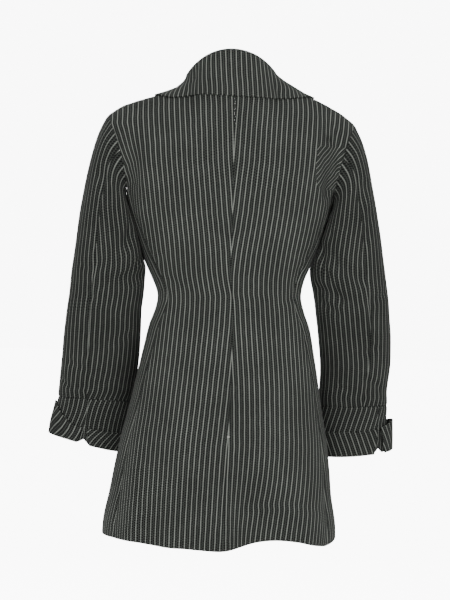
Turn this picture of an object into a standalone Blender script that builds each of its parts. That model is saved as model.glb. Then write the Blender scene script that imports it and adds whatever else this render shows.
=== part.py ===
# A fitted, flared pinstripe wool coat for a woman, three quarter length, as it hangs on its wearer.
# Units are metres and +Z is up. The front faces -Y, and the wearer's left is +X.
# The origin lies between the shoulders, level with the foot of the neck, where the wearer holds it.

import math

import bmesh
import bpy
from mathutils import Vector
from mathutils.bvhtree import BVHTree

# Cloth and seams
CLOTH = 0.0024
SEAM_GAP = 0.0003
COLLAR_CLEARANCE = 0.0038
DARK_WOOL = (0.030, 0.033, 0.032, 1.0)
BUTTON_BLACK = (0.012, 0.012, 0.013, 1.0)

# The body of the coat, one row for each level round it, from the hem up to the chest.
# seam_angle is where the side seams cross the level, from the middle of the back or front.
TORSO_COLUMNS = ("z", "half_width", "back", "front", "squareness", "seam_angle")
TORSO_ROWS = (
    (-0.800, 0.204, 0.137, 0.132, 2.50, 57.0),
    (-0.740, 0.203, 0.135, 0.130, 2.50, 58.0),
    (-0.690, 0.194, 0.133, 0.127, 2.45, 60.0),
    (-0.640, 0.187, 0.131, 0.124, 2.40, 62.0),
    (-0.590, 0.179, 0.128, 0.120, 2.35, 63.0),
    (-0.540, 0.168, 0.123, 0.115, 2.30, 63.0),
    (-0.490, 0.159, 0.115, 0.109, 2.30, 62.0),
    (-0.440, 0.149, 0.105, 0.102, 2.30, 60.0),
    (-0.400, 0.1405, 0.095, 0.096, 2.30, 58.0),
    (-0.370, 0.130, 0.088, 0.092, 2.30, 57.0),
    (-0.345, 0.126, 0.085, 0.091, 2.30, 57.0),
    (-0.318, 0.133, 0.086, 0.094, 2.35, 57.0),
    (-0.290, 0.145, 0.090, 0.101, 2.45, 58.0),
    (-0.260, 0.156, 0.095, 0.109, 2.60, 60.0),
    (-0.228, 0.166, 0.100, 0.117, 2.75, 63.0),
    (-0.195, 0.176, 0.103, 0.122, 2.90, 66.0),
    (-0.163, 0.184, 0.105, 0.124, 3.00, 67.0),
    (-0.130, 0.189, 0.106, 0.124, 3.00, 67.0),
)
HEM_SIDE = -0.762
HEM_BACK_DROP = 0.012
CHEST = -0.163
ARMHOLE_DIP = 0.027

# Neck, shoulders and armholes
NECK_HALF_WIDTH = 0.072
NECK_BACK = 0.058
NECK_FRONT = 0.094
NECK_SIDE_HEIGHT = 0.026
NECK_BACK_RISE = 0.014
SHOULDER_POINT = 0.216
SHOULDER_SLOPE = 0.040
SHOULDER_ROUNDING = 0.025
NECK_SHARE = 0.36
ARMHOLE_CENTRE = Vector((0.197, 0.0, -0.1145))
ARMHOLE_HALF_HEIGHT = 0.078
ARMHOLE_HALF_DEPTH = 0.058
ARMHOLE_CUT_IN = 0.008
ARMHOLE_SEAM_TURN = 130.0
EDGE_FAIRING = 4
FOLD_FADE_START = 1.8
FOLD_FADE = 0.2

# Large folds of the body, seen from behind (face 1) or from the front (face -1).
# Each runs from its top point to its foot; a depth below zero is a trough.
FOLD_COLUMNS = ("face", "top_x", "top_z", "foot_x", "foot_z", "half_width", "top_depth", "foot_depth")
FOLD_ROWS = (
    (1, 0.004, -0.600, 0.012, -0.830, 0.050, 0.000, 0.012),
    (1, -0.012, -0.600, -0.072, -0.830, 0.056, 0.000, -0.034),
    (1, -0.105, -0.560, -0.128, -0.830, 0.050, 0.000, 0.006),
    (1, 0.110, -0.520, 0.135, -0.830, 0.055, 0.000, -0.006),
    (1, -0.156, -0.020, -0.168, -0.170, 0.020, -0.003, -0.008),
    (1, 0.160, -0.030, 0.168, -0.150, 0.022, -0.002, -0.004),
    (-1, 0.070, -0.520, 0.095, -0.830, 0.055, 0.000, -0.012),
    (-1, -0.085, -0.520, -0.105, -0.830, 0.055, 0.000, -0.012),
    (-1, 0.140, -0.540, 0.160, -0.830, 0.050, 0.000, 0.006),
)

# Where the hem lifts, by the angle from the middle of the back, positive to the left.
HEM_LIFT_COLUMNS = ("angle", "half_angle", "lift")
HEM_LIFT_ROWS = (
    (-76.0, 22.0, 0.0040),
    (-27.0, 30.0, 0.0165),
    (50.0, 40.0, 0.0050),
)

# The front closes with one front lying over the other.
OVERLAP_SHARE = 0.18
OVERLAP_RAMP = 0.18
OVERLAP_STEP = CLOTH / 2 + 0.0011

# The wearer stands with the waist a little to the right of the shoulders and hem. Heights down
# the coat, and how far to the side it lies there.
SWAY_COLUMNS = ("z", "shift")
SWAY_ROWS = (
    (-0.800, 0.0000),
    (-0.700, -0.0010),
    (-0.600, -0.0040),
    (-0.500, -0.0068),
    (-0.420, -0.0074),
    (-0.380, -0.0074),
    (-0.355, -0.0068),
    (-0.335, -0.0046),
    (-0.315, -0.0024),
    (-0.290, -0.0016),
    (-0.240, -0.0016),
    (-0.150, -0.0006),
    (-0.060, 0.0000),
    (0.000, 0.0000),
    (0.090, 0.0000),
)

# The wearer's left shoulder drops a little between the neck and its point.
DROP = -0.0090
DROP_X = 0.125
DROP_HALF_WIDTH = 0.085
DROP_FOOT = -0.120
DROP_RAMP = 0.100

# Rings of one sleeve from the armhole to the foot of the cuff. out is the ring's point on the
# outer side of the arm, under is its point next to the body.
SLEEVE_COLUMNS = ("out_x", "out_z", "under_x", "under_z", "middle_y", "half_depth", "back_seam")
SLEEVE_ROWS = (
    (0.2160, -0.039, 0.1780, -0.190, 0.000, 0.058, 81.25),
    (0.2310, -0.070, 0.1805, -0.198, 0.001, 0.064, 78.0),
    (0.2430, -0.112, 0.1755, -0.211, 0.003, 0.067, 74.0),
    (0.2530, -0.164, 0.1680, -0.234, 0.005, 0.066, 71.0),
    (0.2615, -0.215, 0.1595, -0.262, 0.004, 0.063, 68.0),
    (0.2685, -0.270, 0.1510, -0.296, 0.001, 0.060, 67.0),
    (0.2750, -0.318, 0.1490, -0.332, -0.005, 0.057, 67.0),
    (0.2800, -0.365, 0.1500, -0.372, -0.014, 0.054, 68.0),
    (0.2850, -0.412, 0.1500, -0.415, -0.026, 0.051, 70.0),
    (0.2890, -0.458, 0.1530, -0.460, -0.040, 0.049, 73.0),
    (0.2930, -0.505, 0.1600, -0.507, -0.053, 0.048, 76.0),
    (0.2890, -0.533, 0.1660, -0.538, -0.060, 0.044, 78.0),
    (0.2890, -0.560, 0.1690, -0.568, -0.066, 0.043, 79.0),
    (0.2930, -0.588, 0.1710, -0.598, -0.072, 0.044, 80.0),
    (0.2960, -0.612, 0.1730, -0.628, -0.078, 0.045, 81.0),
)

# How each arm departs from those rings as it hangs: outward across, and up. back_z tilts the
# ring's back. Side 1 is the wearer's left.
ARM_COLUMNS = ("ring", "out_x", "out_z", "under_x", "under_z", "back_z")
ARM_ROWS = {
    1: (
        (0, 0.0000, 0.000, 0.0000, 0.000, 0.000),
        (2, 0.0000, 0.000, 0.0000, 0.000, 0.000),
        (3, 0.0000, 0.000, -0.0008, 0.000, 0.000),
        (4, 0.0000, 0.000, -0.0030, 0.000, 0.000),
        (5, -0.0005, 0.000, -0.0062, 0.000, 0.000),
        (6, -0.0010, 0.000, -0.0024, 0.000, 0.000),
        (7, 0.0030, 0.000, 0.0030, 0.000, 0.000),
        (8, 0.0030, 0.000, 0.0032, 0.000, 0.000),
        (9, 0.0020, 0.000, 0.0015, 0.000, 0.000),
        (10, 0.0010, 0.000, 0.0000, 0.000, 0.000),
        (11, 0.0065, 0.000, 0.0000, 0.000, 0.000),
        (12, 0.0085, 0.004, 0.0000, -0.002, -0.001),
        (13, 0.0070, 0.009, 0.0000, -0.002, -0.002),
        (14, 0.0040, 0.014, 0.0000, -0.001, -0.004),
    ),
    -1: (
        (0, 0.0000, 0.000, 0.0000, 0.000, 0.000),
        (2, 0.0000, 0.000, 0.0000, 0.000, 0.000),
        (3, 0.0005, 0.000, -0.0008, 0.000, 0.000),
        (4, 0.0020, 0.000, -0.0026, 0.000, 0.000),
        (5, 0.0050, 0.000, -0.0044, 0.000, 0.000),
        (6, 0.0055, 0.000, -0.0005, 0.000, 0.000),
        (7, 0.0035, 0.000, 0.0030, 0.000, 0.000),
        (8, 0.0040, 0.000, 0.0095, 0.000, 0.000),
        (9, 0.0030, 0.000, 0.0130, 0.000, 0.000),
        (10, -0.0030, 0.000, 0.0080, 0.000, 0.000),
        (11, 0.0040, 0.000, 0.0030, 0.000, 0.000),
        (12, 0.0050, 0.000, 0.0000, 0.002, -0.002),
        (13, 0.0045, 0.000, 0.0000, 0.003, -0.004),
        (14, 0.0040, 0.000, 0.0000, 0.004, -0.007),
    ),
}
SLEEVE_SQUARENESS = 2.15
CUFF_START = 11
SLEEVE_FINE_END = 8
SLEEVE_FINE_STEPS = 16
SLEEVE_END_STEPS = 3
CUFF_END = 14
FRONT_SLEEVE_SEAM = 230.0

# Creases of the sleeves: the turn about the sleeve and the height at both ends.
CREASE_COLUMNS = ("side", "top_turn", "top_z", "foot_turn", "foot_z", "half_width", "depth")
CREASE_ROWS = (
    (1, 130.0, -0.250, 75.0, -0.300, 0.020, -0.006),
    (1, 150.0, -0.315, 85.0, -0.335, 0.018, -0.005),
    (1, 60.0, -0.145, 100.0, -0.200, 0.020, -0.005),
    (-1, 140.0, -0.265, 80.0, -0.310, 0.020, -0.006),
    (-1, 150.0, -0.330, 90.0, -0.350, 0.018, -0.005),
    (-1, 55.0, -0.150, 95.0, -0.215, 0.020, -0.005),
)
SLEEVE_RADIUS = 0.060

# How far down the sleeve its head follows the armhole, in rings
HEAD_HOLD = 2.0
HEAD_BLEND = 0.8
HEAD_AIM = 0.25

# Cuff bands and the turned-back bands round them. The notch is at the back of the wrist.
CUFF_COLUMNS = ("side", "notch_turn", "top", "rise", "top_flare", "foot_flare")
CUFF_ROWS = (
    (1, 82.0, 12.85, 1.55, 0.001, 0.007),
    (-1, 48.0, 12.50, 0.55, 0.009, 0.008),
)
NOTCH_HALF_TURN = 10.0
NOTCH_HEIGHT = 0.75
NOTCH_TOP_SHARE = 0.25
CUFF_SEAM = 0.012
TURNBACK_END = 13.98
FLARE_HALF_TURN = 75.0

# The collar is one wall that stands up from the neck and folds over.
COLLAR_END_TURN = 155.0
STAND_SIDE = 0.019
STAND_BACK = 0.020
STAND_FAIRING = 1.6
STAND_FRONT_LOSS = 0.003
ROLL_RADIUS = 0.0048
FALL_SIDE_SHARE = 0.644
FALL_FRONT_SHARE = 0.30
FALL_EDGE_BACK = -0.0060
FALL_EDGE_SHOULDER = 0.008
FALL_EDGE_FAIRING = 4
FALL_FRONT_DROP = 0.128
FALL_FRONT_FAIRING = 1.2
FALL_HANDLE = 0.30
FALL_SETTLE = 0.2
FALL_BULGE = {1: -0.014, -1: 0.002}
FALL_BULGE_TURN = 85.0
FALL_BULGE_HALF_TURN = 60.0
FOOT_SET_IN = 0.0012
FRONT_SET_IN = 0.0042
OVER_FRONT_START = 0.080
OVER_FRONT_RAMP = 0.030
TREE_STEPS = 20
COLLAR_NORMAL_STEP = 0.1
COLLAR_NORMAL_TURN = 4.0

# Buttons down the middle of the front
BUTTON_HEIGHTS = (-0.125, -0.235, -0.345)
BUTTON_RADIUS = 0.0125
BUTTON_THICKNESS = 0.0042
BUTTON_DISH = 0.0012
BUTTON_SIDES = 20
BUTTON_RIM = 0.0031
BUTTON_EDGE = 0.0006
SHARP_CORNER = 1.2

# Where the columns of the pieces run, as shares from the middle to the side seam or armhole,
# and the number of faces along and across the pieces
NECK_SHARES = (0.0, 0.09, 0.18, 0.27)
SHOULDER_SHARES = (0.36, 0.52, 0.68, 0.84, 1.0)
BODY_STEPS = 20
YOKE_STEPS = 8
SIDE_STEPS = 6
CUFF_STEPS = 4
CUFF_TURNS = 26
COLLAR_TURNS = 38
ROLL_STEPS = 4
STAND_STEPS = 2
FALL_STEPS = 5
BUTTON_RINGS = 4

# Steps over which the direction of the cloth is measured, and what counts as its outside
PANEL_STEP = 0.004
RING_STEP = 0.1
SLEEVE_STEP = 0.05
TURN_STEP = 2.0
OUTSIDE_START = -0.10
OUTSIDE_RISE = 4.0
SMOOTH_LIMIT = 50.0


def start_clean():
    for old in list(bpy.data.objects):
        bpy.data.objects.remove(old)
    collection = bpy.data.collections.new("wool_coat")
    bpy.context.scene.collection.children.link(collection)
    return collection


def smooth_read(rows, columns, column, key, at):
    # Reads one column at a place between rows, on a smooth curve through the rows.
    place = columns.index(column)
    keys = [row[key] for row in rows]
    values = [row[place] for row in rows]
    last = len(rows) - 1
    at = min(max(at, keys[0]), keys[last])
    k = 0
    while k < last - 1 and at > keys[k + 1]:
        k += 1

    def slope(i):
        low = max(i - 1, 0)
        high = min(i + 1, last)
        return (values[high] - values[low]) / (keys[high] - keys[low])

    width = keys[k + 1] - keys[k]
    s = (at - keys[k]) / width
    return (
        values[k] * (1 + 2 * s) * (1 - s) ** 2
        + values[k + 1] * s * s * (3 - 2 * s)
        + width * slope(k) * s * (1 - s) ** 2
        - width * slope(k + 1) * s * s * (1 - s)
    )


def torso_read(column, z):
    return smooth_read(TORSO_ROWS, TORSO_COLUMNS, column, 0, z)


def sleeve_read(column, u):
    numbered = [(i,) + row for i, row in enumerate(SLEEVE_ROWS)]
    return smooth_read(numbered, ("i",) + SLEEVE_COLUMNS, column, 0, u)


def bell(x):
    return 0.5 * (1 + math.cos(math.pi * x)) if abs(x) < 1 else 0.0


def ease(x):
    x = min(max(x, 0.0), 1.0)
    return x * x * (3 - 2 * x)


def along_segment(px, pz, ax, az, bx, bz):
    # Distance from a segment, and how far along it the nearest point lies.
    dx, dz = bx - ax, bz - az
    share = ((px - ax) * dx + (pz - az) * dz) / (dx * dx + dz * dz)
    share = min(max(share, 0.0), 1.0)
    return math.hypot(px - ax - share * dx, pz - az - share * dz), share


def body_folds(point, face):
    push = 0.0
    for row in FOLD_ROWS:
        fold = dict(zip(FOLD_COLUMNS, row))
        if fold["face"] != face:
            continue
        distance, share = along_segment(
            point.x, point.z, fold["top_x"], fold["top_z"], fold["foot_x"], fold["foot_z"])
        depth = fold["top_depth"] + (fold["foot_depth"] - fold["top_depth"]) * share
        push += depth * bell(distance / fold["half_width"])
    return Vector((0.0, face * push, 0.0))


def torso_point(angle, z):
    # angle is in degrees from the middle of the back, positive to the wearer's left.
    turn = math.radians(angle)
    s, c = math.sin(turn), math.cos(turn)
    face = 1 if c > 0 else -1
    n = torso_read("squareness", z)
    reach = (abs(s) ** n + abs(c) ** n) ** (-1 / n)
    depth = torso_read("back" if face > 0 else "front", z)
    point = Vector((reach * torso_read("half_width", z) * s, reach * depth * c, z))
    return point + body_folds(point, face) * ease(abs(c) * 3)


def hem_height(angle):
    c = max(math.cos(math.radians(angle)), 0.0)
    height = HEM_SIDE - HEM_BACK_DROP * c
    for row in HEM_LIFT_ROWS:
        rise = dict(zip(HEM_LIFT_COLUMNS, row))
        height += rise["lift"] * bell((angle - rise["angle"]) / rise["half_angle"])
    return height


def neck_point(turn):
    # Foot of the neck, turn in degrees from the middle of the back, positive to the left.
    s, c = math.sin(math.radians(turn)), math.cos(math.radians(turn))
    if c >= 0:
        return Vector((NECK_HALF_WIDTH * s, NECK_BACK * c, NECK_SIDE_HEIGHT + NECK_BACK_RISE * c * c))
    low = torso_point(chest_angle(-1, NECK_SHARE * (180 - turn) / 90, CHEST), CHEST)
    lean = NECK_FRONT * c / low.y
    z = low.z + (NECK_SIDE_HEIGHT - low.z) * math.sqrt(1 - lean * lean)
    return Vector((NECK_HALF_WIDTH * s, NECK_FRONT * c, z))


def top_line(face, share):
    # Neckline and shoulder seam on the wearer's left, from the middle out to the shoulder point.
    if share < NECK_SHARE:
        turn = 90 * share / NECK_SHARE
        return neck_point(turn if face > 0 else 180 - turn)
    g = (share - NECK_SHARE) / (1 - NECK_SHARE)
    x = NECK_HALF_WIDTH + (SHOULDER_POINT - NECK_HALF_WIDTH) * g
    return Vector((x, 0.0, NECK_SIDE_HEIGHT - SHOULDER_SLOPE * g - SHOULDER_ROUNDING * g ** 3))


def chest_angle(face, share, z):
    turn = share * torso_read("seam_angle", z)
    return turn if face > 0 else 180 - turn


def armhole_oval(turn):
    s, c = math.sin(math.radians(turn)), math.cos(math.radians(turn))
    up = Vector((0.038, 0.0, 0.151)).normalized()
    return (
        ARMHOLE_CENTRE
        + up * ARMHOLE_HALF_HEIGHT * c
        + Vector((-ARMHOLE_CUT_IN * s * s, ARMHOLE_HALF_DEPTH * s, 0.0))
    )


def armhole_point(turn):
    # The seam line on the wearer's left: 0 at the shoulder, 90 at the back, 180 underarm.
    if ARMHOLE_SEAM_TURN <= turn <= 360 - ARMHOLE_SEAM_TURN:
        c = (turn - ARMHOLE_SEAM_TURN) / (360 - 2 * ARMHOLE_SEAM_TURN)
        z = CHEST - ARMHOLE_DIP * math.sin(math.pi * c)
        seam = torso_read("seam_angle", z)
        return torso_point(seam + (180 - 2 * seam) * c, z)
    from_top = turn if turn < 180 else 360 - turn
    face = 1 if turn < 180 else -1
    end_turn = ARMHOLE_SEAM_TURN if face > 0 else 360 - ARMHOLE_SEAM_TURN
    seam_point = torso_point(chest_angle(face, 1.0, CHEST), CHEST)
    pull = seam_point - armhole_oval(end_turn)
    return armhole_oval(turn) + pull * (from_top / ARMHOLE_SEAM_TURN) ** 2


def yoke_point(face, share, rise):
    # The body above the chest line on the wearer's left. share runs from the middle out to
    # the armhole, rise from the chest line up to the neckline and shoulder seam.
    def column(part):
        low = torso_point(chest_angle(face, part, CHEST), CHEST)
        high = top_line(face, part)
        if face < 0 and part < NECK_SHARE:
            # The front neckline is a cut in a form that would close at the neck's side height.
            top_turn = math.acos(high.y / low.y)
            s, c = math.sin(top_turn * rise), math.cos(top_turn * rise)
            across = s / math.sin(top_turn)
            x = low.x + (high.x - low.x) * across
            return Vector((x, low.y * c, low.z + (NECK_SIDE_HEIGHT - low.z) * s))
        s, c = math.sin(math.pi / 2 * rise), math.cos(math.pi / 2 * rise)
        return Vector((
            low.x + (high.x - low.x) * s,
            high.y + (low.y - high.y) * c,
            low.z + (high.z - low.z) * s,
        ))

    turn = ARMHOLE_SEAM_TURN * (1 - rise)
    edge = armhole_point(turn if face > 0 else 360 - turn)
    return column(share) + (edge - column(1.0)) * share ** EDGE_FAIRING


def left_body(face, share, v, side):
    # One front or back: v from 0 to 1 climbs from hem to chest, from 1 to 2 up to the top.
    # The shape is worked out on the left and mirrored; folds are added on the true side.
    if v > 1:
        point = yoke_point(face, share, v - 1)
        point.x *= side
        return point + body_folds(point, face) * fade_near_top(v) * (1 - share ** 8)
    z = CHEST
    for _ in range(3):
        angle = chest_angle(face, share, z)
        bottom = hem_height(side * angle)
        z = bottom + (CHEST - bottom) * v
    return torso_point(side * angle, z)


def fade_near_top(v):
    return 1 - ease((v - FOLD_FADE_START) / FOLD_FADE)


def side_body(share, v, side):
    # The panel under the arm, from the back seam to the front seam.
    top = CHEST - ARMHOLE_DIP * math.sin(math.pi * share)
    z = top
    for _ in range(3):
        seam = torso_read("seam_angle", z)
        angle = seam + (180 - 2 * seam) * share
        bottom = hem_height(side * angle)
        z = bottom + (top - bottom) * v
    return torso_point(side * angle, z)


def surface_normal(surface, a, b, a_range, b_range, outward):
    a0, a1 = max(a - PANEL_STEP, a_range[0]), min(a + PANEL_STEP, a_range[1])
    b0, b1 = max(b - PANEL_STEP, b_range[0]), min(b + PANEL_STEP, b_range[1])
    normal = (surface(a1, b) - surface(a0, b)).cross(surface(a, b1) - surface(a, b0)).normalized()
    return normal if normal.dot(outward) > 0 else -normal


def draw_in(grid, left=True, right=True, bottom=False, top=False):
    # Moves a panel's edges in by half of the seam gap, along the cloth.
    half = SEAM_GAP / 2
    rows, columns = len(grid), len(grid[0])
    moves = [[Vector() for _ in range(columns)] for _ in range(rows)]
    for i in range(rows):
        if left:
            moves[i][0] += (grid[i][1] - grid[i][0]).normalized() * half
        if right:
            moves[i][-1] += (grid[i][-2] - grid[i][-1]).normalized() * half
    for j in range(columns):
        if bottom:
            moves[0][j] += (grid[1][j] - grid[0][j]).normalized() * half
        if top:
            moves[-1][j] += (grid[-2][j] - grid[-1][j]).normalized() * half
    return moves


def make_material(name, colour, roughness):
    material = bpy.data.materials.new(name)
    material.use_nodes = True
    shader = material.node_tree.nodes["Principled BSDF"]
    shader.inputs["Base Color"].default_value = colour
    shader.inputs["Roughness"].default_value = roughness
    shader.inputs["Metallic"].default_value = 0.0
    material.diffuse_color = colour
    return material


def finish_object(name, mesh_source, collection, colour, roughness):
    bmesh.ops.recalc_face_normals(mesh_source, faces=mesh_source.faces)
    mesh = bpy.data.meshes.new(name)
    mesh_source.to_mesh(mesh)
    mesh_source.free()
    mesh.shade_smooth()
    mesh.set_sharp_from_angle(angle=math.radians(SMOOTH_LIMIT))
    made = bpy.data.objects.new(name, mesh)
    mesh.materials.append(make_material(name + "_finish", colour, roughness))
    collection.objects.link(made)
    return made


def wall_object(name, outer, inner, collection, colour=DARK_WOOL, round_closed=False):
    # A cloth wall between two grids of points; the columns of a closed ring wrap round.
    bm = bmesh.new()
    rows, columns = len(outer), len(outer[0])
    front = [[bm.verts.new(p) for p in row] for row in outer]
    back = [[bm.verts.new(p) for p in row] for row in inner]
    wraps = columns if round_closed else columns - 1
    for j in range(wraps):
        k = (j + 1) % columns
        for i in range(rows - 1):
            bm.faces.new((front[i][j], front[i][k], front[i + 1][k], front[i + 1][j]))
            bm.faces.new((back[i][j], back[i + 1][j], back[i + 1][k], back[i][k]))
        bm.faces.new((front[0][j], back[0][j], back[0][k], front[0][k]))
        bm.faces.new((front[-1][j], front[-1][k], back[-1][k], back[-1][j]))
    if not round_closed:
        for i in range(rows - 1):
            bm.faces.new((front[i][0], front[i + 1][0], back[i + 1][0], back[i][0]))
            bm.faces.new((front[i][-1], back[i][-1], back[i + 1][-1], front[i + 1][-1]))
    return finish_object(name, bm, collection, colour, 0.9)


def no_lift(share):
    return 0.0


def panel(name, surface, shares, climbs, collection, edges, lift=no_lift):
    # Builds one panel: a grid of surface points, and the same points moved in by the cloth.
    a_range = (shares[0], shares[-1])
    b_range = (climbs[0], climbs[-1])
    outer = [[surface(a, b) for a in shares] for b in climbs]
    moves = draw_in(outer, *edges)
    placed = []
    inner = []
    for i, b in enumerate(climbs):
        placed.append([])
        inner.append([])
        for j, a in enumerate(shares):
            outward = away_from_middle(outer[i][j])
            normal = surface_normal(surface, a, b, a_range, b_range, outward)
            point = outer[i][j] + moves[i][j] + normal * lift(a)
            placed[i].append(point)
            inner[i].append(point - normal * CLOTH)
    return wall_object(name, placed, inner, collection)


def away_from_middle(point):
    # A direction out of the coat at a point of its body.
    lift = max(point.z - OUTSIDE_START, 0.0) * OUTSIDE_RISE
    return Vector((point.x, point.y, lift)).normalized()


def side_name(side):
    return "left" if side > 0 else "right"


def steps(count, start=0.0, end=1.0):
    return [start + (end - start) * i / count for i in range(count + 1)]


def front_surface(side):
    # A front runs past the middle by the overlap; share is below zero there.
    def surface(share, v):
        if share < 0:
            return left_body(-1, -share, v, -side)
        return left_body(-1, share, v, side)

    return surface


def overlap_lift(side):
    # The right front steps out, and the left one in, where they lie on each other.
    def lift(share):
        part = 1 - ease((abs(share) - OVERLAP_SHARE) / OVERLAP_RAMP)
        return -side * OVERLAP_STEP * part

    return lift


def make_body(collection):
    climbs = steps(BODY_STEPS) + steps(YOKE_STEPS, 1.0, 2.0)[1:]
    shares = NECK_SHARES + SHOULDER_SHARES
    past_middle = tuple(-share for share in reversed(NECK_SHARES[1:]) if share <= OVERLAP_SHARE)
    for side in (1, -1):
        panel(
            "back_" + side_name(side),
            lambda share, v, side=side: left_body(1, share, v, side),
            shares, climbs, collection, (True, True, False, True))
        panel(
            "side_" + side_name(side),
            lambda share, v, side=side: side_body(share, v, side),
            steps(SIDE_STEPS), steps(BODY_STEPS), collection, (True, True, False, False))
        panel(
            "front_" + side_name(side), front_surface(side), past_middle + shares, climbs,
            collection, (False, True, False, True), overlap_lift(side))


def armhole_turns():
    # The turns of the armhole's points, shared by the body's edges and the sleeve's first ring.
    back = [ARMHOLE_SEAM_TURN * (1 - i / YOKE_STEPS) for i in range(YOKE_STEPS, -1, -1)]
    under = steps(SIDE_STEPS, ARMHOLE_SEAM_TURN, 360 - ARMHOLE_SEAM_TURN)
    front = [360 - t for t in reversed(back)]
    return back + under[1:-1] + front


def sleeve_creases(side, turn, z):
    push = 0.0
    for row in CREASE_ROWS:
        crease = dict(zip(CREASE_COLUMNS, row))
        if crease["side"] != side:
            continue
        distance, _ = along_segment(
            math.radians(turn) * SLEEVE_RADIUS, z,
            math.radians(crease["top_turn"]) * SLEEVE_RADIUS, crease["top_z"],
            math.radians(crease["foot_turn"]) * SLEEVE_RADIUS, crease["foot_z"])
        push += crease["depth"] * bell(distance / crease["half_width"])
    return push


def ring_end(end, u, side):
    # A ring's outer or under point: the one they share, and what this arm adds to it.
    place = []
    for axis in ("_x", "_z"):
        own = smooth_read(ARM_ROWS[side], ARM_COLUMNS, end + axis, 0, u)
        place.append(sleeve_read(end + axis, u) + own)
    return Vector((place[0], 0.0, place[1]))


def sleeve_ring(u, turn, side):
    out, under = ring_end("out", u, side), ring_end("under", u, side)
    middle = (out + under) / 2
    middle.y = sleeve_read("middle_y", u)
    across = (out - under) / 2
    s, c = math.sin(math.radians(turn)), math.cos(math.radians(turn))
    n = SLEEVE_SQUARENESS
    reach = (abs(s) ** n + abs(c) ** n) ** (-1 / n)
    arm = across * c + Vector((0.0, sleeve_read("half_depth", u) * s, 0.0))
    point = middle + arm * reach
    point.z += smooth_read(ARM_ROWS[side], ARM_COLUMNS, "back_z", 0, u) * s
    return point + arm.normalized() * sleeve_creases(side, turn % 360, point.z)


def armhole_frame(turn):
    # The body's outward direction at the armhole, the way off its edge, and the seam's run.
    step = 1.5
    run = (armhole_point((turn + step) % 360) - armhole_point((turn - step) % 360)).normalized()
    if ARMHOLE_SEAM_TURN < turn < 360 - ARMHOLE_SEAM_TURN:
        share = (turn - ARMHOLE_SEAM_TURN) / (360 - 2 * ARMHOLE_SEAM_TURN)
        here, beside = side_body(share, 1.0, 1), side_body(share, 0.98, 1)
    else:
        face = 1 if turn < 180 else -1
        from_top = turn if turn < 180 else 360 - turn
        rise = 1 - from_top / ARMHOLE_SEAM_TURN
        here, beside = yoke_point(face, 1.0, rise), yoke_point(face, 0.97, rise)
    off = here - beside
    off = (off - run * off.dot(run)).normalized()
    normal = run.cross(off).normalized()
    if normal.dot(away_from_middle(here)) < 0:
        normal = -normal
    return normal, off, run


def sleeve_surface(side):
    # The left sleeve's points, eased on to the armhole; the right one is its mirror.
    starts = {}
    for turn in armhole_turns():
        normal, off, run = armhole_frame(turn % 360)
        ring_out = sleeve_ring(HEAD_AIM, turn, side) - ARMHOLE_CENTRE
        inward = -(ring_out - run * ring_out.dot(run)).normalized()
        if inward.dot(off) < 0:
            inward = (inward - off * inward.dot(off)).normalized()
        share = (1 + inward.dot(normal)) / 2
        gap_way = (off * (1 - share) + normal * share).normalized()
        start = armhole_point(turn % 360) + gap_way * SEAM_GAP
        starts[round(turn, 3)] = (start, inward)

    def surface(turn, u, first_turn):
        start, _ = starts[round(first_turn, 3)]
        point = sleeve_ring(u, turn, side)
        hold = max(1 - u / HEAD_HOLD, 0.0) ** 2
        return point + (start - sleeve_ring(0.0, first_turn, side)) * hold

    return surface, starts


def mirrored(point, side):
    return Vector((point.x * side, point.y, point.z))


def sleeve_grid(side, turns_at_start, limits, rows_u):
    # Outer and inner points of one sleeve piece; limits(u) gives its first and last turn.
    surface, starts = sleeve_surface(side)
    first, last = turns_at_start[0], turns_at_start[-1]
    outer, inner = [], []
    for u in rows_u:
        low, high = limits(u)
        ring = []
        for start_turn in turns_at_start:
            share = (start_turn - first) / (last - first)
            turn = low + (high - low) * share
            ring.append((turn, start_turn % 360))
        points = [surface(turn, u, key) for turn, key in ring]
        outer.append(points)
        inward = []
        for turn, key in ring:
            low_u, high_u = max(u - SLEEVE_STEP, 0.0), min(u + SLEEVE_STEP, CUFF_START)
            around = surface(turn + TURN_STEP, u, key) - surface(turn - TURN_STEP, u, key)
            down = surface(turn, high_u, key) - surface(turn, low_u, key)
            normal = around.cross(down).normalized()
            middle = sleeve_ring(u, 0, side) + sleeve_ring(u, 180, side)
            if normal.dot(surface(turn, u, key) - middle / 2) < 0:
                normal = -normal
            blend = ease(u / HEAD_BLEND)
            way = starts[round(key, 3)][1] * (1 - blend) - normal * blend
            inward.append(way.normalized())
        inner.append(inward)
    moves = draw_in(outer, True, True, False, True)
    for i, row in enumerate(outer):
        for j in range(len(row)):
            row[j] = row[j] + moves[i][j]
            inner[i][j] = mirrored(row[j] + inner[i][j] * CLOTH, side)
            row[j] = mirrored(row[j], side)
    return outer, inner


def make_sleeves(collection):
    turns = armhole_turns()
    seam = sleeve_read("back_seam", 0)
    under = [t for t in turns if seam - 0.01 <= t <= FRONT_SLEEVE_SEAM + 0.01]
    top = [t - 360 for t in turns if FRONT_SLEEVE_SEAM - 0.01 <= t < 359.99]
    top += [t for t in turns if t <= seam + 0.01]
    rows_u = steps(SLEEVE_FINE_STEPS, 0.0, SLEEVE_FINE_END)
    rows_u += steps(SLEEVE_END_STEPS, SLEEVE_FINE_END, CUFF_START)[1:]
    for side in (1, -1):
        for name, start_turns, limits in (
            ("top_sleeve_", top, lambda u: (FRONT_SLEEVE_SEAM - 360, sleeve_read("back_seam", u))),
            ("under_sleeve_", under, lambda u: (sleeve_read("back_seam", u), FRONT_SLEEVE_SEAM)),
        ):
            outer, inner = sleeve_grid(side, start_turns, limits, rows_u)
            wall_object(name + side_name(side), outer, inner, collection)


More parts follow.
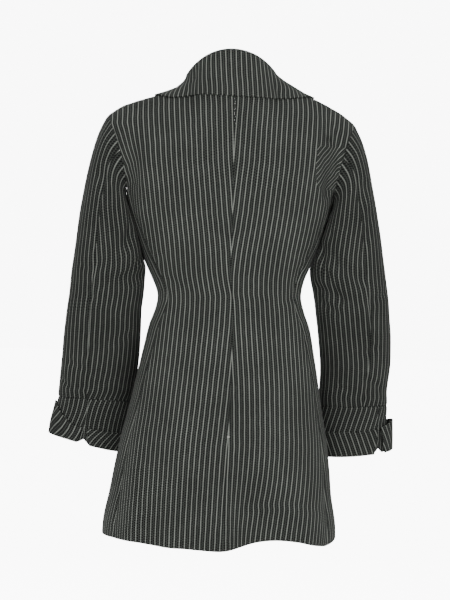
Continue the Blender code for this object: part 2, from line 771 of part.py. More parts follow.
def cuff_normal(turn, u, side):
    around = sleeve_ring(u, turn + TURN_STEP, side) - sleeve_ring(u, turn - TURN_STEP, side)
    down = sleeve_ring(u + RING_STEP, turn, side) - sleeve_ring(u - RING_STEP, turn, side)
    normal = around.cross(down).normalized()
    middle = (sleeve_ring(u, 0, side) + sleeve_ring(u, 180, side)) / 2
    return normal if normal.dot(sleeve_ring(u, turn, side) - middle) > 0 else -normal


def make_cuffs(collection):
    for row in CUFF_ROWS:
        cuff = dict(zip(CUFF_COLUMNS, row))
        side = cuff["side"]
        notch = cuff["notch_turn"]

        # The band that is sewn to the sleeve, with a notch up from its foot.
        outer, inner = [], []
        top = CUFF_START + CUFF_SEAM
        for v in steps(CUFF_STEPS):
            outer_row, inner_row = [], []
            for k in range(CUFF_TURNS):
                turn = notch + 360 * (k / CUFF_TURNS)
                away = min(turn - notch, notch + 360 - turn)
                foot = CUFF_END - NOTCH_HEIGHT * max(1 - away / NOTCH_HALF_TURN, 0.0)
                u = top + (foot - top) * v
                point = sleeve_ring(u, turn, side)
                outer_row.append(mirrored(point, side))
                inner_row.append(mirrored(point - cuff_normal(turn, u, side) * CLOTH, side))
            outer.append(outer_row)
            inner.append(inner_row)
        wall_object("cuff_" + side_name(side), outer, inner, collection, round_closed=True)

        # The turned-back band lies round it, open at the notch, and stands off the outer side.
        outer, inner = [], []
        for v in steps(CUFF_STEPS):
            outer_row, inner_row = [], []
            open_half = NOTCH_HALF_TURN * (NOTCH_TOP_SHARE + (1 - NOTCH_TOP_SHARE) * v)
            for turn in steps(CUFF_TURNS, notch + open_half, notch + 360 - open_half):
                from_side = (turn + 180) % 360 - 180
                flare_share = bell(from_side / FLARE_HALF_TURN)
                top = cuff["top"] - cuff["rise"] * flare_share
                u = top + (TURNBACK_END - top) * v
                flare = (cuff["top_flare"] * (1 - v) + cuff["foot_flare"] * v) * flare_share
                stand_off = 2 * SEAM_GAP + flare
                normal = cuff_normal(turn, u, side)
                point = sleeve_ring(u, turn, side)
                inner_row.append(mirrored(point + normal * stand_off, side))
                outer_row.append(mirrored(point + normal * (stand_off + CLOTH), side))
            outer.append(outer_row)
            inner.append(inner_row)
        wall_object("turnback_" + side_name(side), outer, inner, collection)


def yoke_at_height(face, share, z):
    # The place on the yoke of one column at a given height.
    low, high = 0.0, 1.0
    for _ in range(24):
        middle = (low + high) / 2
        if yoke_point(face, share, middle).z < z:
            low = middle
        else:
            high = middle
    return low


def collar_edge(turn):
    # The free edge of the collar on the wearer's left, as it lies on the body.
    if turn <= 90:
        face = 1
        share = FALL_SIDE_SHARE * turn / 90
        z = FALL_EDGE_BACK + (FALL_EDGE_SHOULDER - FALL_EDGE_BACK) * (turn / 90) ** FALL_EDGE_FAIRING
    else:
        face = -1
        part = (turn - 90) / (COLLAR_END_TURN - 90)
        share = FALL_SIDE_SHARE + (FALL_FRONT_SHARE - FALL_SIDE_SHARE) * part
        z = FALL_EDGE_SHOULDER - FALL_FRONT_DROP * part ** FALL_FRONT_FAIRING
    return yoke_point(face, share, yoke_at_height(face, share, z))


def yoke_tree():
    # The yoke's left half as a search tree, so that the collar can be laid on it.
    verts, faces = [], []
    for face in (1, -1):
        rises = steps(TREE_STEPS)
        for share in steps(TREE_STEPS):
            for rise in rises:
                verts.append(yoke_point(face, share, rise))
        width = len(rises)
        first = len(verts) - width * width
        for i in range(TREE_STEPS):
            for j in range(TREE_STEPS):
                k = first + i * width + j
                ring = (k, k + width, k + width + 1, k + 1)
                faces.append(ring if face < 0 else tuple(reversed(ring)))
    return BVHTree.FromPolygons(verts, faces)


def clear_of_yoke(point, tree, weight):
    near, normal, _, _ = tree.find_nearest(point)
    if normal.dot(away_from_middle(near)) < 0:
        normal = -normal
    over_front = 0.0
    if near.y < 0:
        over_front = OVERLAP_STEP * ease((OVER_FRONT_START - near.x) / OVER_FRONT_RAMP)
    short = COLLAR_CLEARANCE + over_front + CLOTH / 2 - (point - near).dot(normal)
    return point + normal * max(short, 0.0) * weight


def neck_seam_point(turn):
    # The neckline as the body's panels have it, straight from one of their columns to the next.
    stops = [90 * share / NECK_SHARE for share in NECK_SHARES] + [90.0]
    stops += [180 - stop for stop in reversed(stops[:-1])]
    for low, high in zip(stops, stops[1:]):
        if turn <= high:
            share = (turn - low) / (high - low)
            return neck_point(low) * (1 - share) + neck_point(high) * share
    return neck_point(turn)


def collar_point(turn, q, tree):
    # q runs from the foot of the stand, 0, over the roll, 1 to 2, to the free edge, 3.
    side = 1 if turn >= 0 else -1
    turn = abs(turn)
    foot = neck_seam_point(turn)
    smooth_foot = neck_point(turn)
    out = Vector((math.sin(math.radians(turn)), math.cos(math.radians(turn)), 0.0))
    up = Vector((0.0, 0.0, 1.0))
    part = max(math.cos(math.radians(turn)), 0.0)
    front = max(-math.cos(math.radians(turn)), 0.0)
    height = STAND_SIDE + STAND_BACK * part ** STAND_FAIRING - STAND_FRONT_LOSS * front
    set_in = out * (FOOT_SET_IN + FRONT_SET_IN * front + CLOTH / 2) + up * CLOTH
    roll_foot = smooth_foot - set_in + up * (height - ROLL_RADIUS)
    foot = foot - set_in
    if q <= 1:
        point = foot + (roll_foot - foot) * q
    elif q <= 2:
        bend = math.pi * (q - 1)
        point = roll_foot + out * ROLL_RADIUS * (1 - math.cos(bend)) + up * ROLL_RADIUS * math.sin(bend)
    else:
        start = roll_foot + out * 2 * ROLL_RADIUS
        edge = collar_edge(turn)
        s = q - 2
        bulge = out * FALL_BULGE[side] * bell((turn - FALL_BULGE_TURN) / FALL_BULGE_HALF_TURN)
        handle_a = start + (edge - start) * FALL_HANDLE + bulge
        handle_b = start + (edge - start) * (1 - FALL_HANDLE) + bulge
        point = (
            start * (1 - s) ** 3
            + handle_a * 3 * s * (1 - s) ** 2
            + handle_b * 3 * s * s * (1 - s)
            + edge * s ** 3
        )
        point = clear_of_yoke(point, tree, ease(s / FALL_SETTLE))
    return mirrored(point, side)


def make_collar(collection):
    turns = steps(COLLAR_TURNS, -COLLAR_END_TURN, COLLAR_END_TURN)
    tree = yoke_tree()
    places = steps(STAND_STEPS, 0.0, 1.0) + steps(ROLL_STEPS, 1.0, 2.0)[1:]
    places += steps(FALL_STEPS, 2.0, 3.0)[1:]
    outer, inner = [], []
    for q in places:
        outer_row, inner_row = [], []
        for turn in turns:
            low_q, high_q = max(q - COLLAR_NORMAL_STEP, 0.0), min(q + COLLAR_NORMAL_STEP, 3.0)
            low_t = max(turn - COLLAR_NORMAL_TURN, -COLLAR_END_TURN)
            high_t = min(turn + COLLAR_NORMAL_TURN, COLLAR_END_TURN)
            along = collar_point(high_t, q, tree) - collar_point(low_t, q, tree)
            over = collar_point(turn, high_q, tree) - collar_point(turn, low_q, tree)
            normal = over.cross(along).normalized()
            point = collar_point(turn, q, tree)
            outer_row.append(point + normal * CLOTH / 2)
            inner_row.append(point - normal * CLOTH / 2)
        outer.append(outer_row)
        inner.append(inner_row)
    wall_object("collar", outer, inner, collection)


def make_buttons(collection):
    front = bpy.data.objects["front_right"].data
    tree = BVHTree.FromPolygons(
        [v.co for v in front.vertices], [tuple(p.vertices) for p in front.polygons])
    ahead = Vector((0.0, 1.0, 0.0))
    for number, z in enumerate(BUTTON_HEIGHTS, start=1):
        # The button lies just off the point of the cloth that stands out most beneath it.
        reach = 0.0
        for radius in steps(BUTTON_RINGS, 0.0, BUTTON_RADIUS):
            for turn in steps(BUTTON_SIDES, 0.0, 2 * math.pi):
                start = Vector((radius * math.cos(turn), -1.0, z + radius * math.sin(turn)))
                reach = min(reach, tree.ray_cast(start, ahead)[0].y)
        bm = bmesh.new()
        bmesh.ops.create_cone(
            bm, cap_ends=True, segments=BUTTON_SIDES,
            radius1=BUTTON_RADIUS, radius2=BUTTON_RADIUS, depth=BUTTON_THICKNESS)
        top = [f for f in bm.faces if f.normal.z > 0.5]
        bmesh.ops.inset_region(bm, faces=top, thickness=BUTTON_RIM)
        for face in top:
            bmesh.ops.translate(bm, verts=face.verts, vec=(0.0, 0.0, -BUTTON_DISH))
        edges = [e for e in bm.edges if e.calc_face_angle() > SHARP_CORNER]
        bmesh.ops.bevel(
            bm, geom=edges, offset=BUTTON_EDGE, segments=1, profile=0.5, affect="EDGES", material=-1)
        made = finish_object("button_%d" % number, bm, collection, BUTTON_BLACK, 0.35)
        made.rotation_euler = (math.radians(90), 0.0, 0.0)
        made.location = (0.0, reach - SEAM_GAP - BUTTON_THICKNESS / 2, z)


def worn_shift(point):
    # The wearer's sway and the drop of the left shoulder at one point.
    drop = bell((point.x - DROP_X) / DROP_HALF_WIDTH) * ease((point.z - DROP_FOOT) / DROP_RAMP)
    return Vector((smooth_read(SWAY_ROWS, SWAY_COLUMNS, "shift", 0, point.z), 0.0, DROP * drop))


def wear(collection):
    # Each piece takes the wearer's stance; the buttons move whole.
    for made in collection.objects:
        if made.location.z != 0.0:
            made.location += worn_shift(made.location)
            continue
        for vertex in made.data.vertices:
            vertex.co += worn_shift(vertex.co)


coat = start_clean()
make_body(coat)
make_sleeves(coat)
make_cuffs(coat)
make_collar(coat)
make_buttons(coat)
wear(coat)
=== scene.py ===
# A fitted, flared pinstripe wool coat, filled out as it is worn, seen from behind.
import math

import bmesh
import bpy
import numpy as np
from mathutils import Matrix, Vector, noise
from mathutils.bvhtree import BVHTree


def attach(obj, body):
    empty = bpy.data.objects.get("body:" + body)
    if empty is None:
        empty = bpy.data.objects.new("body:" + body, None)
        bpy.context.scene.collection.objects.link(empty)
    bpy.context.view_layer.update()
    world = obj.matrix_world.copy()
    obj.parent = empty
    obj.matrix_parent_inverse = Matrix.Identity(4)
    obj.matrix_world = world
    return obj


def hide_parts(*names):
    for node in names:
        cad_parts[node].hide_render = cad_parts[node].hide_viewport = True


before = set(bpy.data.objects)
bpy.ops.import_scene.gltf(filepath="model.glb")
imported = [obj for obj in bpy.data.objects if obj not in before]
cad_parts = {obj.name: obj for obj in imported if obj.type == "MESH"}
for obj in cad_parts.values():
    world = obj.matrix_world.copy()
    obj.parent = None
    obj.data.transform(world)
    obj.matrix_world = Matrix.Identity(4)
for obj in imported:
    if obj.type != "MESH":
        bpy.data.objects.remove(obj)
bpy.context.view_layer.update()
print("coat: frame loaded")

# The wearer's left is +X, the front faces -Y. Lengths are in metres, turns in degrees.
coatCut = {
    "cloth": 0.0023,        # thickness of the wool
    "seamDip": 0.0011,      # how far a seam sinks
    "seamHalfWidth": 0.0028,
    "puckerDepth": 0.0006,
    "puckerReach": 0.012,
    "puckerWave": 0.0041,
    "puckerDrift": 0.017,   # over this the puckers crowd and thin out
    "puckerCrowding": 2.2,
    "puckerSwell": 0.031,   # and over this they grow and fade
    "puckerShare": (0.6, 0.4),
    "softness": 0.0009,     # slow unevenness of worn cloth
    "softWaves": ((1.0, 16, 9), (0.45, 38, 24)),    # share, waves a metre across, and up
    "rim": 0.0007,
    "rimSegments": 2,
    "rimAngle": 60.0,
    "ringJoin": 0.00002,    # a ring's two ends become one
}
# Each piece of cloth: where its puckers start, its stripes' place across and up, their turn, and
# its shade. The shade is painted shade: the sleeves, cuffs and turned-back bands turn away from
# the light, so their colours are darkened to look shaded.
pieceColumns = ("puckers", "across", "up", "turn", "shade")
pieceRows = {
    "back_left": (1.7, 0.0026, 0.0, 0.0, 1.0),
    "back_right": (1.7, 0.0026, 0.0, 0.0, 1.0),
    "side_left": (6.1, 0.001, 0.001, 0.0, 1.0),
    "side_right": (4.1, 0.003, 0.001, 0.0, 1.0),
    "front_left": (9.3, 0.002, 0.002, 0.0, 1.0),
    "front_right": (7.3, 0.002, 0.002, 0.0, 1.0),
    "top_sleeve_left": (82.0, 0.001, 0.0, 0.0, 0.75),
    "top_sleeve_right": (80.0, 0.001, 0.0, 0.0, 0.75),
    "under_sleeve_left": (64.0, 0.001, 0.0, 0.0, 0.75),
    "under_sleeve_right": (62.0, 0.001, 0.0, 0.0, 0.75),
    "cuff_left": (22.0, 0.002, 0.0, -8.0, 0.80),
    "cuff_right": (20.0, 0.002, 0.0, 14.0, 0.80),
    "turnback_left": (26.0, 0.002, 0.0, -30.0, 0.85),
    "turnback_right": (24.0, 0.002, 0.0, -20.0, 0.85),
    "collar": (31.0, 0.0045, 0.0, 0.0, 1.0),
}
sideWord = {1: "left", -1: "right"}

torsoColumns = ("z", "halfWidth", "back", "front", "squareness", "seamAngle")
torsoRows = (
    (-0.800, 0.204, 0.137, 0.132, 2.50, 57.0),
    (-0.740, 0.203, 0.135, 0.130, 2.50, 58.0),
    (-0.690, 0.194, 0.133, 0.127, 2.45, 60.0),
    (-0.640, 0.187, 0.131, 0.124, 2.40, 62.0),
    (-0.590, 0.179, 0.128, 0.120, 2.35, 63.0),
    (-0.540, 0.168, 0.123, 0.115, 2.30, 63.0),
    (-0.490, 0.159, 0.115, 0.109, 2.30, 62.0),
    (-0.440, 0.149, 0.105, 0.102, 2.30, 60.0),
    (-0.400, 0.1405, 0.095, 0.096, 2.30, 58.0),
    (-0.370, 0.130, 0.088, 0.092, 2.30, 57.0),
    (-0.345, 0.126, 0.085, 0.091, 2.30, 57.0),
    (-0.318, 0.133, 0.086, 0.094, 2.35, 57.0),
    (-0.290, 0.145, 0.090, 0.101, 2.45, 58.0),
    (-0.260, 0.156, 0.095, 0.109, 2.60, 60.0),
    (-0.228, 0.166, 0.100, 0.117, 2.75, 63.0),
    (-0.195, 0.176, 0.103, 0.122, 2.90, 66.0),
    (-0.163, 0.184, 0.105, 0.124, 3.00, 67.0),
    (-0.130, 0.189, 0.106, 0.124, 3.00, 67.0),
)

bodyShape = {
    "hemSide": -0.762,
    "hemBackDrop": 0.012,
    "chest": -0.163,
    "armholeDip": 0.027,
    "neckHalfWidth": 0.072,
    "neckBack": 0.058,
    "neckFront": 0.094,
    "neckSideHeight": 0.026,
    "neckBackRise": 0.014,
    "shoulderPoint": 0.216,
    "shoulderSlope": 0.040,
    "shoulderRounding": 0.025,
    "neckShare": 0.36,
    "armholeCentre": (0.197, 0.0, -0.1145),
    "armholeUp": (0.038, 0.0, 0.151),
    "armholeHalfHeight": 0.078,
    "armholeHalfDepth": 0.058,
    "armholeCutIn": 0.008,
    "armholeSeamTurn": 130.0,
    "overlapShare": 0.18,
    "overlapRamp": 0.18,
    "overlapStep": 0.0023,
    "drop": -0.0090,        # the left shoulder hangs a little lower
    "dropX": 0.125,
    "dropHalfWidth": 0.085,
    "dropFoot": -0.120,
    "dropRamp": 0.100,
    "sideFade": 3,          # folds die out towards the sides
    "armholePull": 4,
    "hemRounds": 3,
    # where folds and creases fade: from this climb, over this much, and how near the armhole
    "foldFade": (1.8, 0.2, 8),
    "creaseFade": (1.85, 0.15, 16),
}

# Where the hem lifts: the angle from the middle of the back, its half-width, and how far.
hemLiftRows = ((-76.0, 22.0, 0.0040), (-27.0, 30.0, 0.0165), (50.0, 40.0, 0.0050))

# The wearer's sway: heights down the coat, and how far to the side it lies there.
swayRows = (
    (-0.800, 0.0000), (-0.700, -0.0010), (-0.600, -0.0040), (-0.500, -0.0068), (-0.420, -0.0074),
    (-0.380, -0.0074), (-0.355, -0.0068), (-0.335, -0.0046), (-0.315, -0.0024), (-0.290, -0.0016),
    (-0.240, -0.0016), (-0.150, -0.0006), (-0.060, 0.0000), (0.000, 0.0000), (0.040, 0.0025),
    (0.090, 0.0045),
)

# Large folds, and the creases that the cloth shows, on the back (face 1) and front (face -1).
foldColumns = ("face", "topX", "topZ", "footX", "footZ", "halfWidth", "topDepth", "footDepth")
foldRows = (
    (1, 0.004, -0.600, 0.012, -0.830, 0.050, 0.000, 0.012),
    (1, -0.012, -0.600, -0.072, -0.830, 0.056, 0.000, -0.034),
    (1, -0.105, -0.560, -0.128, -0.830, 0.050, 0.000, 0.006),
    (1, 0.110, -0.520, 0.135, -0.830, 0.055, 0.000, -0.006),
    (1, -0.156, -0.020, -0.168, -0.170, 0.020, -0.003, -0.008),
    (1, 0.160, -0.030, 0.168, -0.150, 0.022, -0.002, -0.004),
    (-1, 0.070, -0.520, 0.095, -0.830, 0.055, 0.000, -0.012),
    (-1, -0.085, -0.520, -0.105, -0.830, 0.055, 0.000, -0.012),
    (-1, 0.140, -0.540, 0.160, -0.830, 0.050, 0.000, 0.006),
)
creaseRows = (
    # beside the armholes, where the back's cloth folds over
    (1, -0.143, -0.010, -0.165, -0.072, 0.009, -0.002, -0.006),
    (1, -0.165, -0.072, -0.178, -0.124, 0.010, -0.006, -0.007),
    (1, -0.178, -0.110, -0.163, -0.165, 0.013, -0.007, -0.009),
    (1, -0.132, -0.030, -0.150, -0.120, 0.014, 0.001, 0.003),
    (1, 0.176, -0.045, 0.168, -0.120, 0.012, -0.001, -0.004),
    (1, 0.182, -0.130, 0.160, -0.175, 0.013, -0.004, -0.002),
    # drag lines over the waist and down to the skirt
    (1, 0.118, -0.285, 0.088, -0.345, 0.012, -0.003, -0.001),
    (1, 0.104, -0.322, 0.060, -0.352, 0.011, -0.0022, -0.0006),
    (1, -0.122, -0.300, -0.094, -0.352, 0.012, -0.003, -0.001),
    (1, -0.132, -0.268, -0.112, -0.318, 0.010, -0.0025, -0.001),
    (1, -0.112, -0.345, -0.064, -0.362, 0.010, -0.0022, -0.0005),
    (1, 0.052, -0.470, 0.060, -0.790, 0.034, 0.000, -0.005),
    (1, 0.086, -0.500, 0.094, -0.790, 0.026, 0.000, 0.004),
    (1, 0.028, -0.520, 0.030, -0.790, 0.022, 0.000, -0.003),
    (1, -0.018, -0.560, -0.040, -0.700, 0.016, 0.000, -0.004),
    (1, -0.088, -0.480, -0.100, -0.790, 0.026, 0.000, -0.004),
    (1, -0.140, -0.560, -0.152, -0.790, 0.022, 0.000, 0.004),
    (1, 0.150, -0.600, 0.160, -0.790, 0.022, 0.000, 0.004),
    # the hidden front, in the same way
    (-1, 0.118, -0.290, 0.080, -0.348, 0.012, -0.003, -0.001),
    (-1, -0.120, -0.285, -0.086, -0.345, 0.012, -0.003, -0.001),
    (-1, -0.104, -0.325, -0.052, -0.356, 0.011, -0.002, -0.0006),
    (-1, 0.168, -0.050, 0.150, -0.150, 0.016, -0.001, -0.005),
    (-1, -0.166, -0.040, -0.148, -0.140, 0.016, -0.001, -0.005),
    (-1, 0.040, -0.500, 0.046, -0.790, 0.028, 0.000, -0.004),
    (-1, -0.046, -0.520, -0.056, -0.790, 0.026, 0.000, -0.004),
    (-1, -0.130, -0.560, -0.146, -0.790, 0.024, 0.000, 0.004),
)

sleeveColumns = ("ring", "outX", "outZ", "underX", "underZ", "middleY", "halfDepth", "backSeam")
sleeveRows = (
    (0, 0.2160, -0.039, 0.1780, -0.190, 0.000, 0.058, 81.25),
    (1, 0.2310, -0.070, 0.1805, -0.198, 0.001, 0.064, 78.0),
    (2, 0.2430, -0.112, 0.1755, -0.211, 0.003, 0.067, 74.0),
    (3, 0.2530, -0.164, 0.1680, -0.234, 0.005, 0.066, 71.0),
    (4, 0.2615, -0.215, 0.1595, -0.262, 0.004, 0.063, 68.0),
    (5, 0.2685, -0.270, 0.1510, -0.296, 0.001, 0.060, 67.0),
    (6, 0.2750, -0.318, 0.1490, -0.332, -0.005, 0.057, 67.0),
    (7, 0.2800, -0.365, 0.1500, -0.372, -0.014, 0.054, 68.0),
    (8, 0.2850, -0.412, 0.1500, -0.415, -0.026, 0.051, 70.0),
    (9, 0.2890, -0.458, 0.1530, -0.460, -0.040, 0.049, 73.0),
    (10, 0.2930, -0.505, 0.1600, -0.507, -0.053, 0.048, 76.0),
    (11, 0.2890, -0.533, 0.1660, -0.538, -0.060, 0.044, 78.0),
    (12, 0.2890, -0.560, 0.1690, -0.568, -0.066, 0.043, 79.0),
    (13, 0.2930, -0.588, 0.1710, -0.598, -0.072, 0.044, 80.0),
    (14, 0.2960, -0.612, 0.1730, -0.628, -0.078, 0.045, 81.0),
)
# How each arm departs from those rings as it hangs, ring by ring from 0, outward across and up.
armColumns = {
    1: {
        "outX": (0, 0, 0, 0, 0, -0.0005, -0.001, 0.003, 0.003, 0.002, 0.001, 0.0065, 0.0085, 0.007,
            0.004),
        "outZ": (0, 0, 0, 0, 0, 0, 0, 0, 0, 0, 0, 0, 0.004, 0.009, 0.014),
        "underX": (0, -0.005, -0.0078, -0.0085, -0.009, -0.0075, -0.0024, 0.003, 0.0032, 0.0015, 0, 0,
            0, 0, 0),
        "underZ": (0, 0, 0, 0, 0, 0, 0, 0, 0, 0, 0, 0, -0.002, -0.002, -0.001),
        "backZ": (0, 0, 0, 0, 0, 0, 0, 0, 0, 0, 0, 0, -0.001, -0.002, -0.004),
    },
    -1: {
        "outX": (0, 0, 0, 0.0005, 0.002, 0.005, 0.0055, 0.0035, 0.004, 0.003, -0.003, 0.004, 0.005,
            0.0045, 0.004),
        "outZ": (0, 0, 0, 0, 0, 0, 0, 0, 0, 0, 0, 0, 0, 0, 0),
        "underX": (0, -0.005, -0.008, -0.009, -0.0095, -0.0065, -0.0005, 0.003, 0.0095, 0.013, 0.008,
            0.003, 0, 0, 0),
        "underZ": (0, 0, 0, 0, 0, 0, 0, 0, 0, 0, 0, 0, 0.002, 0.003, 0.004),
        "backZ": (0, 0, 0, 0, 0, 0, 0, 0, 0, 0, 0, 0, -0.002, -0.004, -0.007),
    },
}
sleeveCut = {
    "squareness": 2.15,
    "frontSeam": 230.0,
    "cuffStart": 11.0,
    "cuffEnd": 14.0,
    "headHold": 2.0,        # rings down which the head follows the armhole
    "creaseRadius": 0.060,
    "fineShare": 0.65,      # how much of the small creases shows
    "bulge": 0.002,         # the sleeve's cloth rests on the cuff
    "bulgeRing": 10.45,
    "bulgeRings": 0.55,
    "restGap": 0.0024,      # between the sleeve and the body that it rests against
    "restRamp": 0.5,
}
sleeveCreaseColumns = ("side", "topTurn", "topZ", "footTurn", "footZ", "halfWidth", "depth")
sleeveCreaseRows = (
    (1, 130.0, -0.250, 75.0, -0.300, 0.020, -0.006),
    (1, 150.0, -0.315, 85.0, -0.335, 0.018, -0.005),
    (1, 60.0, -0.145, 100.0, -0.200, 0.020, -0.005),
    (-1, 140.0, -0.265, 80.0, -0.310, 0.020, -0.006),
    (-1, 150.0, -0.330, 90.0, -0.350, 0.018, -0.005),
    (-1, 55.0, -0.150, 95.0, -0.215, 0.020, -0.005),
)
sleeveFineRows = (
    (1, 104.0, -0.165, 98.0, -0.290, 0.010, -0.005),
    (1, 92.0, -0.200, 86.0, -0.330, 0.012, 0.003),
    (1, 140.0, -0.205, 118.0, -0.270, 0.010, -0.005),
    (1, 158.0, -0.280, 112.0, -0.322, 0.009, -0.004),
    (1, 66.0, -0.355, 110.0, -0.385, 0.011, -0.003),
    (1, 45.0, -0.300, 78.0, -0.320, 0.010, -0.0025),
    (1, 130.0, -0.420, 70.0, -0.455, 0.012, -0.003),
    (1, 40.0, -0.470, 95.0, -0.492, 0.010, -0.003),
    (1, 100.0, -0.505, 60.0, -0.515, 0.008, -0.003),
    (1, 20.0, -0.500, 45.0, -0.512, 0.008, -0.003),
    (-1, 150.0, -0.255, 112.0, -0.350, 0.010, -0.007),
    (-1, 128.0, -0.235, 108.0, -0.300, 0.009, -0.004),
    (-1, 100.0, -0.300, 72.0, -0.395, 0.011, 0.003),
    (-1, 152.0, -0.345, 116.0, -0.375, 0.010, -0.004),
    (-1, 48.0, -0.200, 80.0, -0.285, 0.012, -0.0025),
    (-1, 30.0, -0.330, 70.0, -0.352, 0.010, -0.0025),
    (-1, 60.0, -0.430, 105.0, -0.450, 0.011, -0.003),
    (-1, 88.0, -0.480, 48.0, -0.500, 0.009, -0.003),
    (-1, 120.0, -0.500, 90.0, -0.513, 0.008, -0.003),
    (1, 250.0, -0.290, 300.0, -0.330, 0.013, -0.004),
    (1, 235.0, -0.330, 290.0, -0.350, 0.011, -0.004),
    (1, 250.0, -0.140, 290.0, -0.200, 0.014, -0.004),
    (-1, 245.0, -0.300, 300.0, -0.335, 0.013, -0.004),
    (-1, 240.0, -0.345, 285.0, -0.360, 0.011, -0.004),
    (-1, 255.0, -0.150, 295.0, -0.205, 0.014, -0.004),
)

cuffCut = {
    "notchTurn": {1: 82.0, -1: 48.0},
    "topFlare": {1: 0.001, -1: 0.009},
    "footFlare": {1: 0.007, -1: 0.008},
    "notchHalfTurn": 10.0,
    "notchHeight": 0.35,
    "notchTopShare": 0.25,  # the turned-back band's notch at its top, of its width at the foot
    "turnbackTop": {1: 12.85, -1: 12.50},
    "turnbackRise": {1: 1.55, -1: 0.55},
    "turnbackEnd": 13.98,
    "flareHalfTurn": 75.0,
    "standOff": 0.0007,
    "cuffSeam": 0.012,
}

collarCut = {
    "endTurn": 155.0,
    "standSide": 0.019,
    "standBack": 0.020,
    "standFairing": 1.6,
    "standFrontLoss": 0.003,
    "rollRadius": 0.0048,
    "fallSideShare": {1: 0.644, -1: 0.690},
    "fallFrontShare": 0.30,
    "edgeBack": -0.0075,
    "edgeLift": {1: 0.0035, -1: 0.0},
    "edgeLiftTurn": 40.0,
    "edgeLiftHalfTurn": 40.0,
    "edgeShoulder": 0.008,
    "edgeFairing": 4,
    "frontDrop": 0.128,
    "frontFairing": 1.2,
    "handle": 0.30,
    "settle": 0.2,
    "bulge": {1: -0.014, -1: 0.002},
    "bulgeTurn": 85.0,
    "bulgeHalfTurn": 60.0,
    "setIn": 0.0012,
    "frontSetIn": 0.0042,
    "clearance": 0.0014,
    "lapX": 0.080,          # in from here the collar clears the front's overlap too
    "lapRamp": 0.030,
}


# Reading the tables
def smoothColumn(rows, place, count=900):
    # one column of a table, on a smooth curve through its rows
    keys = np.array([row[0] for row in rows], dtype=float)
    values = np.array([row[place] for row in rows], dtype=float)
    low = np.maximum(np.arange(len(keys)) - 1, 0)
    high = np.minimum(np.arange(len(keys)) + 1, len(keys) - 1)
    slopes = (values[high] - values[low]) / (keys[high] - keys[low])
    at = np.linspace(keys[0], keys[-1], count)
    k = np.clip(np.searchsorted(keys, at, side="right") - 1, 0, len(keys) - 2)
    width = keys[k + 1] - keys[k]
    s = (at - keys[k]) / width
    curve = (
        values[k] * (1 + 2 * s) * (1 - s) ** 2
        + values[k + 1] * s * s * (3 - 2 * s)
        + width * slopes[k] * s * (1 - s) ** 2
        - width * slopes[k + 1] * s * s * (1 - s)
    )
    return at, curve


torsoCurves = {name: smoothColumn(torsoRows, i) for i, name in enumerate(torsoColumns)}
sleeveCurves = {name: smoothColumn(sleeveRows, i) for i, name in enumerate(sleeveColumns)}
armCurves = {
    side: {name: smoothColumn(tuple(enumerate(values)), 1) for name, values in columns.items()}
    for side, columns in armColumns.items()}
swayCurve = smoothColumn(swayRows, 1)


def readTorso(column, z):
    return np.interp(z, *torsoCurves[column])


def readSleeve(column, u):
    return np.interp(u, *sleeveCurves[column])


def bell(x):
    return np.where(np.abs(x) < 1, 0.5 * (1 + np.cos(np.pi * np.clip(x, -1, 1))), 0.0)


def ease(x):
    x = np.clip(x, 0.0, 1.0)
    return x * x * (3 - 2 * x)


def pointsOf(x, y, z):
    return np.stack(np.broadcast_arrays(x, y, z), axis=-1).astype(float)


def sinCos(turn):
    turn = np.radians(turn)
    return np.sin(turn), np.cos(turn)


def alongSegment(px, pz, ax, az, bx, bz):
    # distance from a segment, and how far along it the nearest point lies
    dx, dz = bx - ax, bz - az
    share = np.clip(((px - ax) * dx + (pz - az) * dz) / (dx * dx + dz * dz), 0.0, 1.0)
    return np.hypot(px - ax - share * dx, pz - az - share * dz), share


# The body's form
def bodyPush(points, face, rows):
    push = np.zeros(points.shape[:-1])
    for row in rows:
        fold = dict(zip(foldColumns, row))
        distance, share = alongSegment(
            points[..., 0], points[..., 2], fold["topX"], fold["topZ"], fold["footX"], fold["footZ"])
        depth = fold["topDepth"] + (fold["footDepth"] - fold["topDepth"]) * share
        push += np.where(face == fold["face"], depth * bell(distance / fold["halfWidth"]), 0.0)
    return push * face


def torsoPoint(angle, z):
    s, c = sinCos(angle)
    face = np.where(c > 0, 1.0, -1.0)
    n = readTorso("squareness", z)
    reach = (np.abs(s) ** n + np.abs(c) ** n) ** (-1 / n)
    depth = np.where(face > 0, readTorso("back", z), readTorso("front", z))
    points = pointsOf(reach * readTorso("halfWidth", z) * s, reach * depth * c, z)
    sides = ease(np.abs(c) * bodyShape["sideFade"])
    points[..., 1] += bodyPush(points, face, foldRows + creaseRows) * sides
    return points


def hemHeight(angle):
    c = np.maximum(np.cos(np.radians(angle)), 0.0)
    height = bodyShape["hemSide"] - bodyShape["hemBackDrop"] * c
    for middle, half, lift in hemLiftRows:
        height = height + lift * bell((angle - middle) / half)
    return height


def chestAngle(face, share, z):
    turn = share * readTorso("seamAngle", z)
    return turn if face > 0 else 180 - turn


def chestPoint(face, share):
    z = np.full(np.shape(share), bodyShape["chest"])
    return torsoPoint(chestAngle(face, share, z), z)


def neckPoint(turn):
    s, c = sinCos(turn)
    rise = bodyShape["neckSideHeight"] + bodyShape["neckBackRise"] * c * c
    low = chestPoint(-1, bodyShape["neckShare"] * np.clip(180 - turn, 0, 90) / 90)
    lean = np.clip(bodyShape["neckFront"] * c / low[..., 1], 0, 1)
    climb = (bodyShape["neckSideHeight"] - low[..., 2]) * np.sqrt(1 - lean * lean)
    deep = np.where(c >= 0, bodyShape["neckBack"], bodyShape["neckFront"])
    z = np.where(c >= 0, rise, low[..., 2] + climb)
    return pointsOf(bodyShape["neckHalfWidth"] * s, deep * c, z)


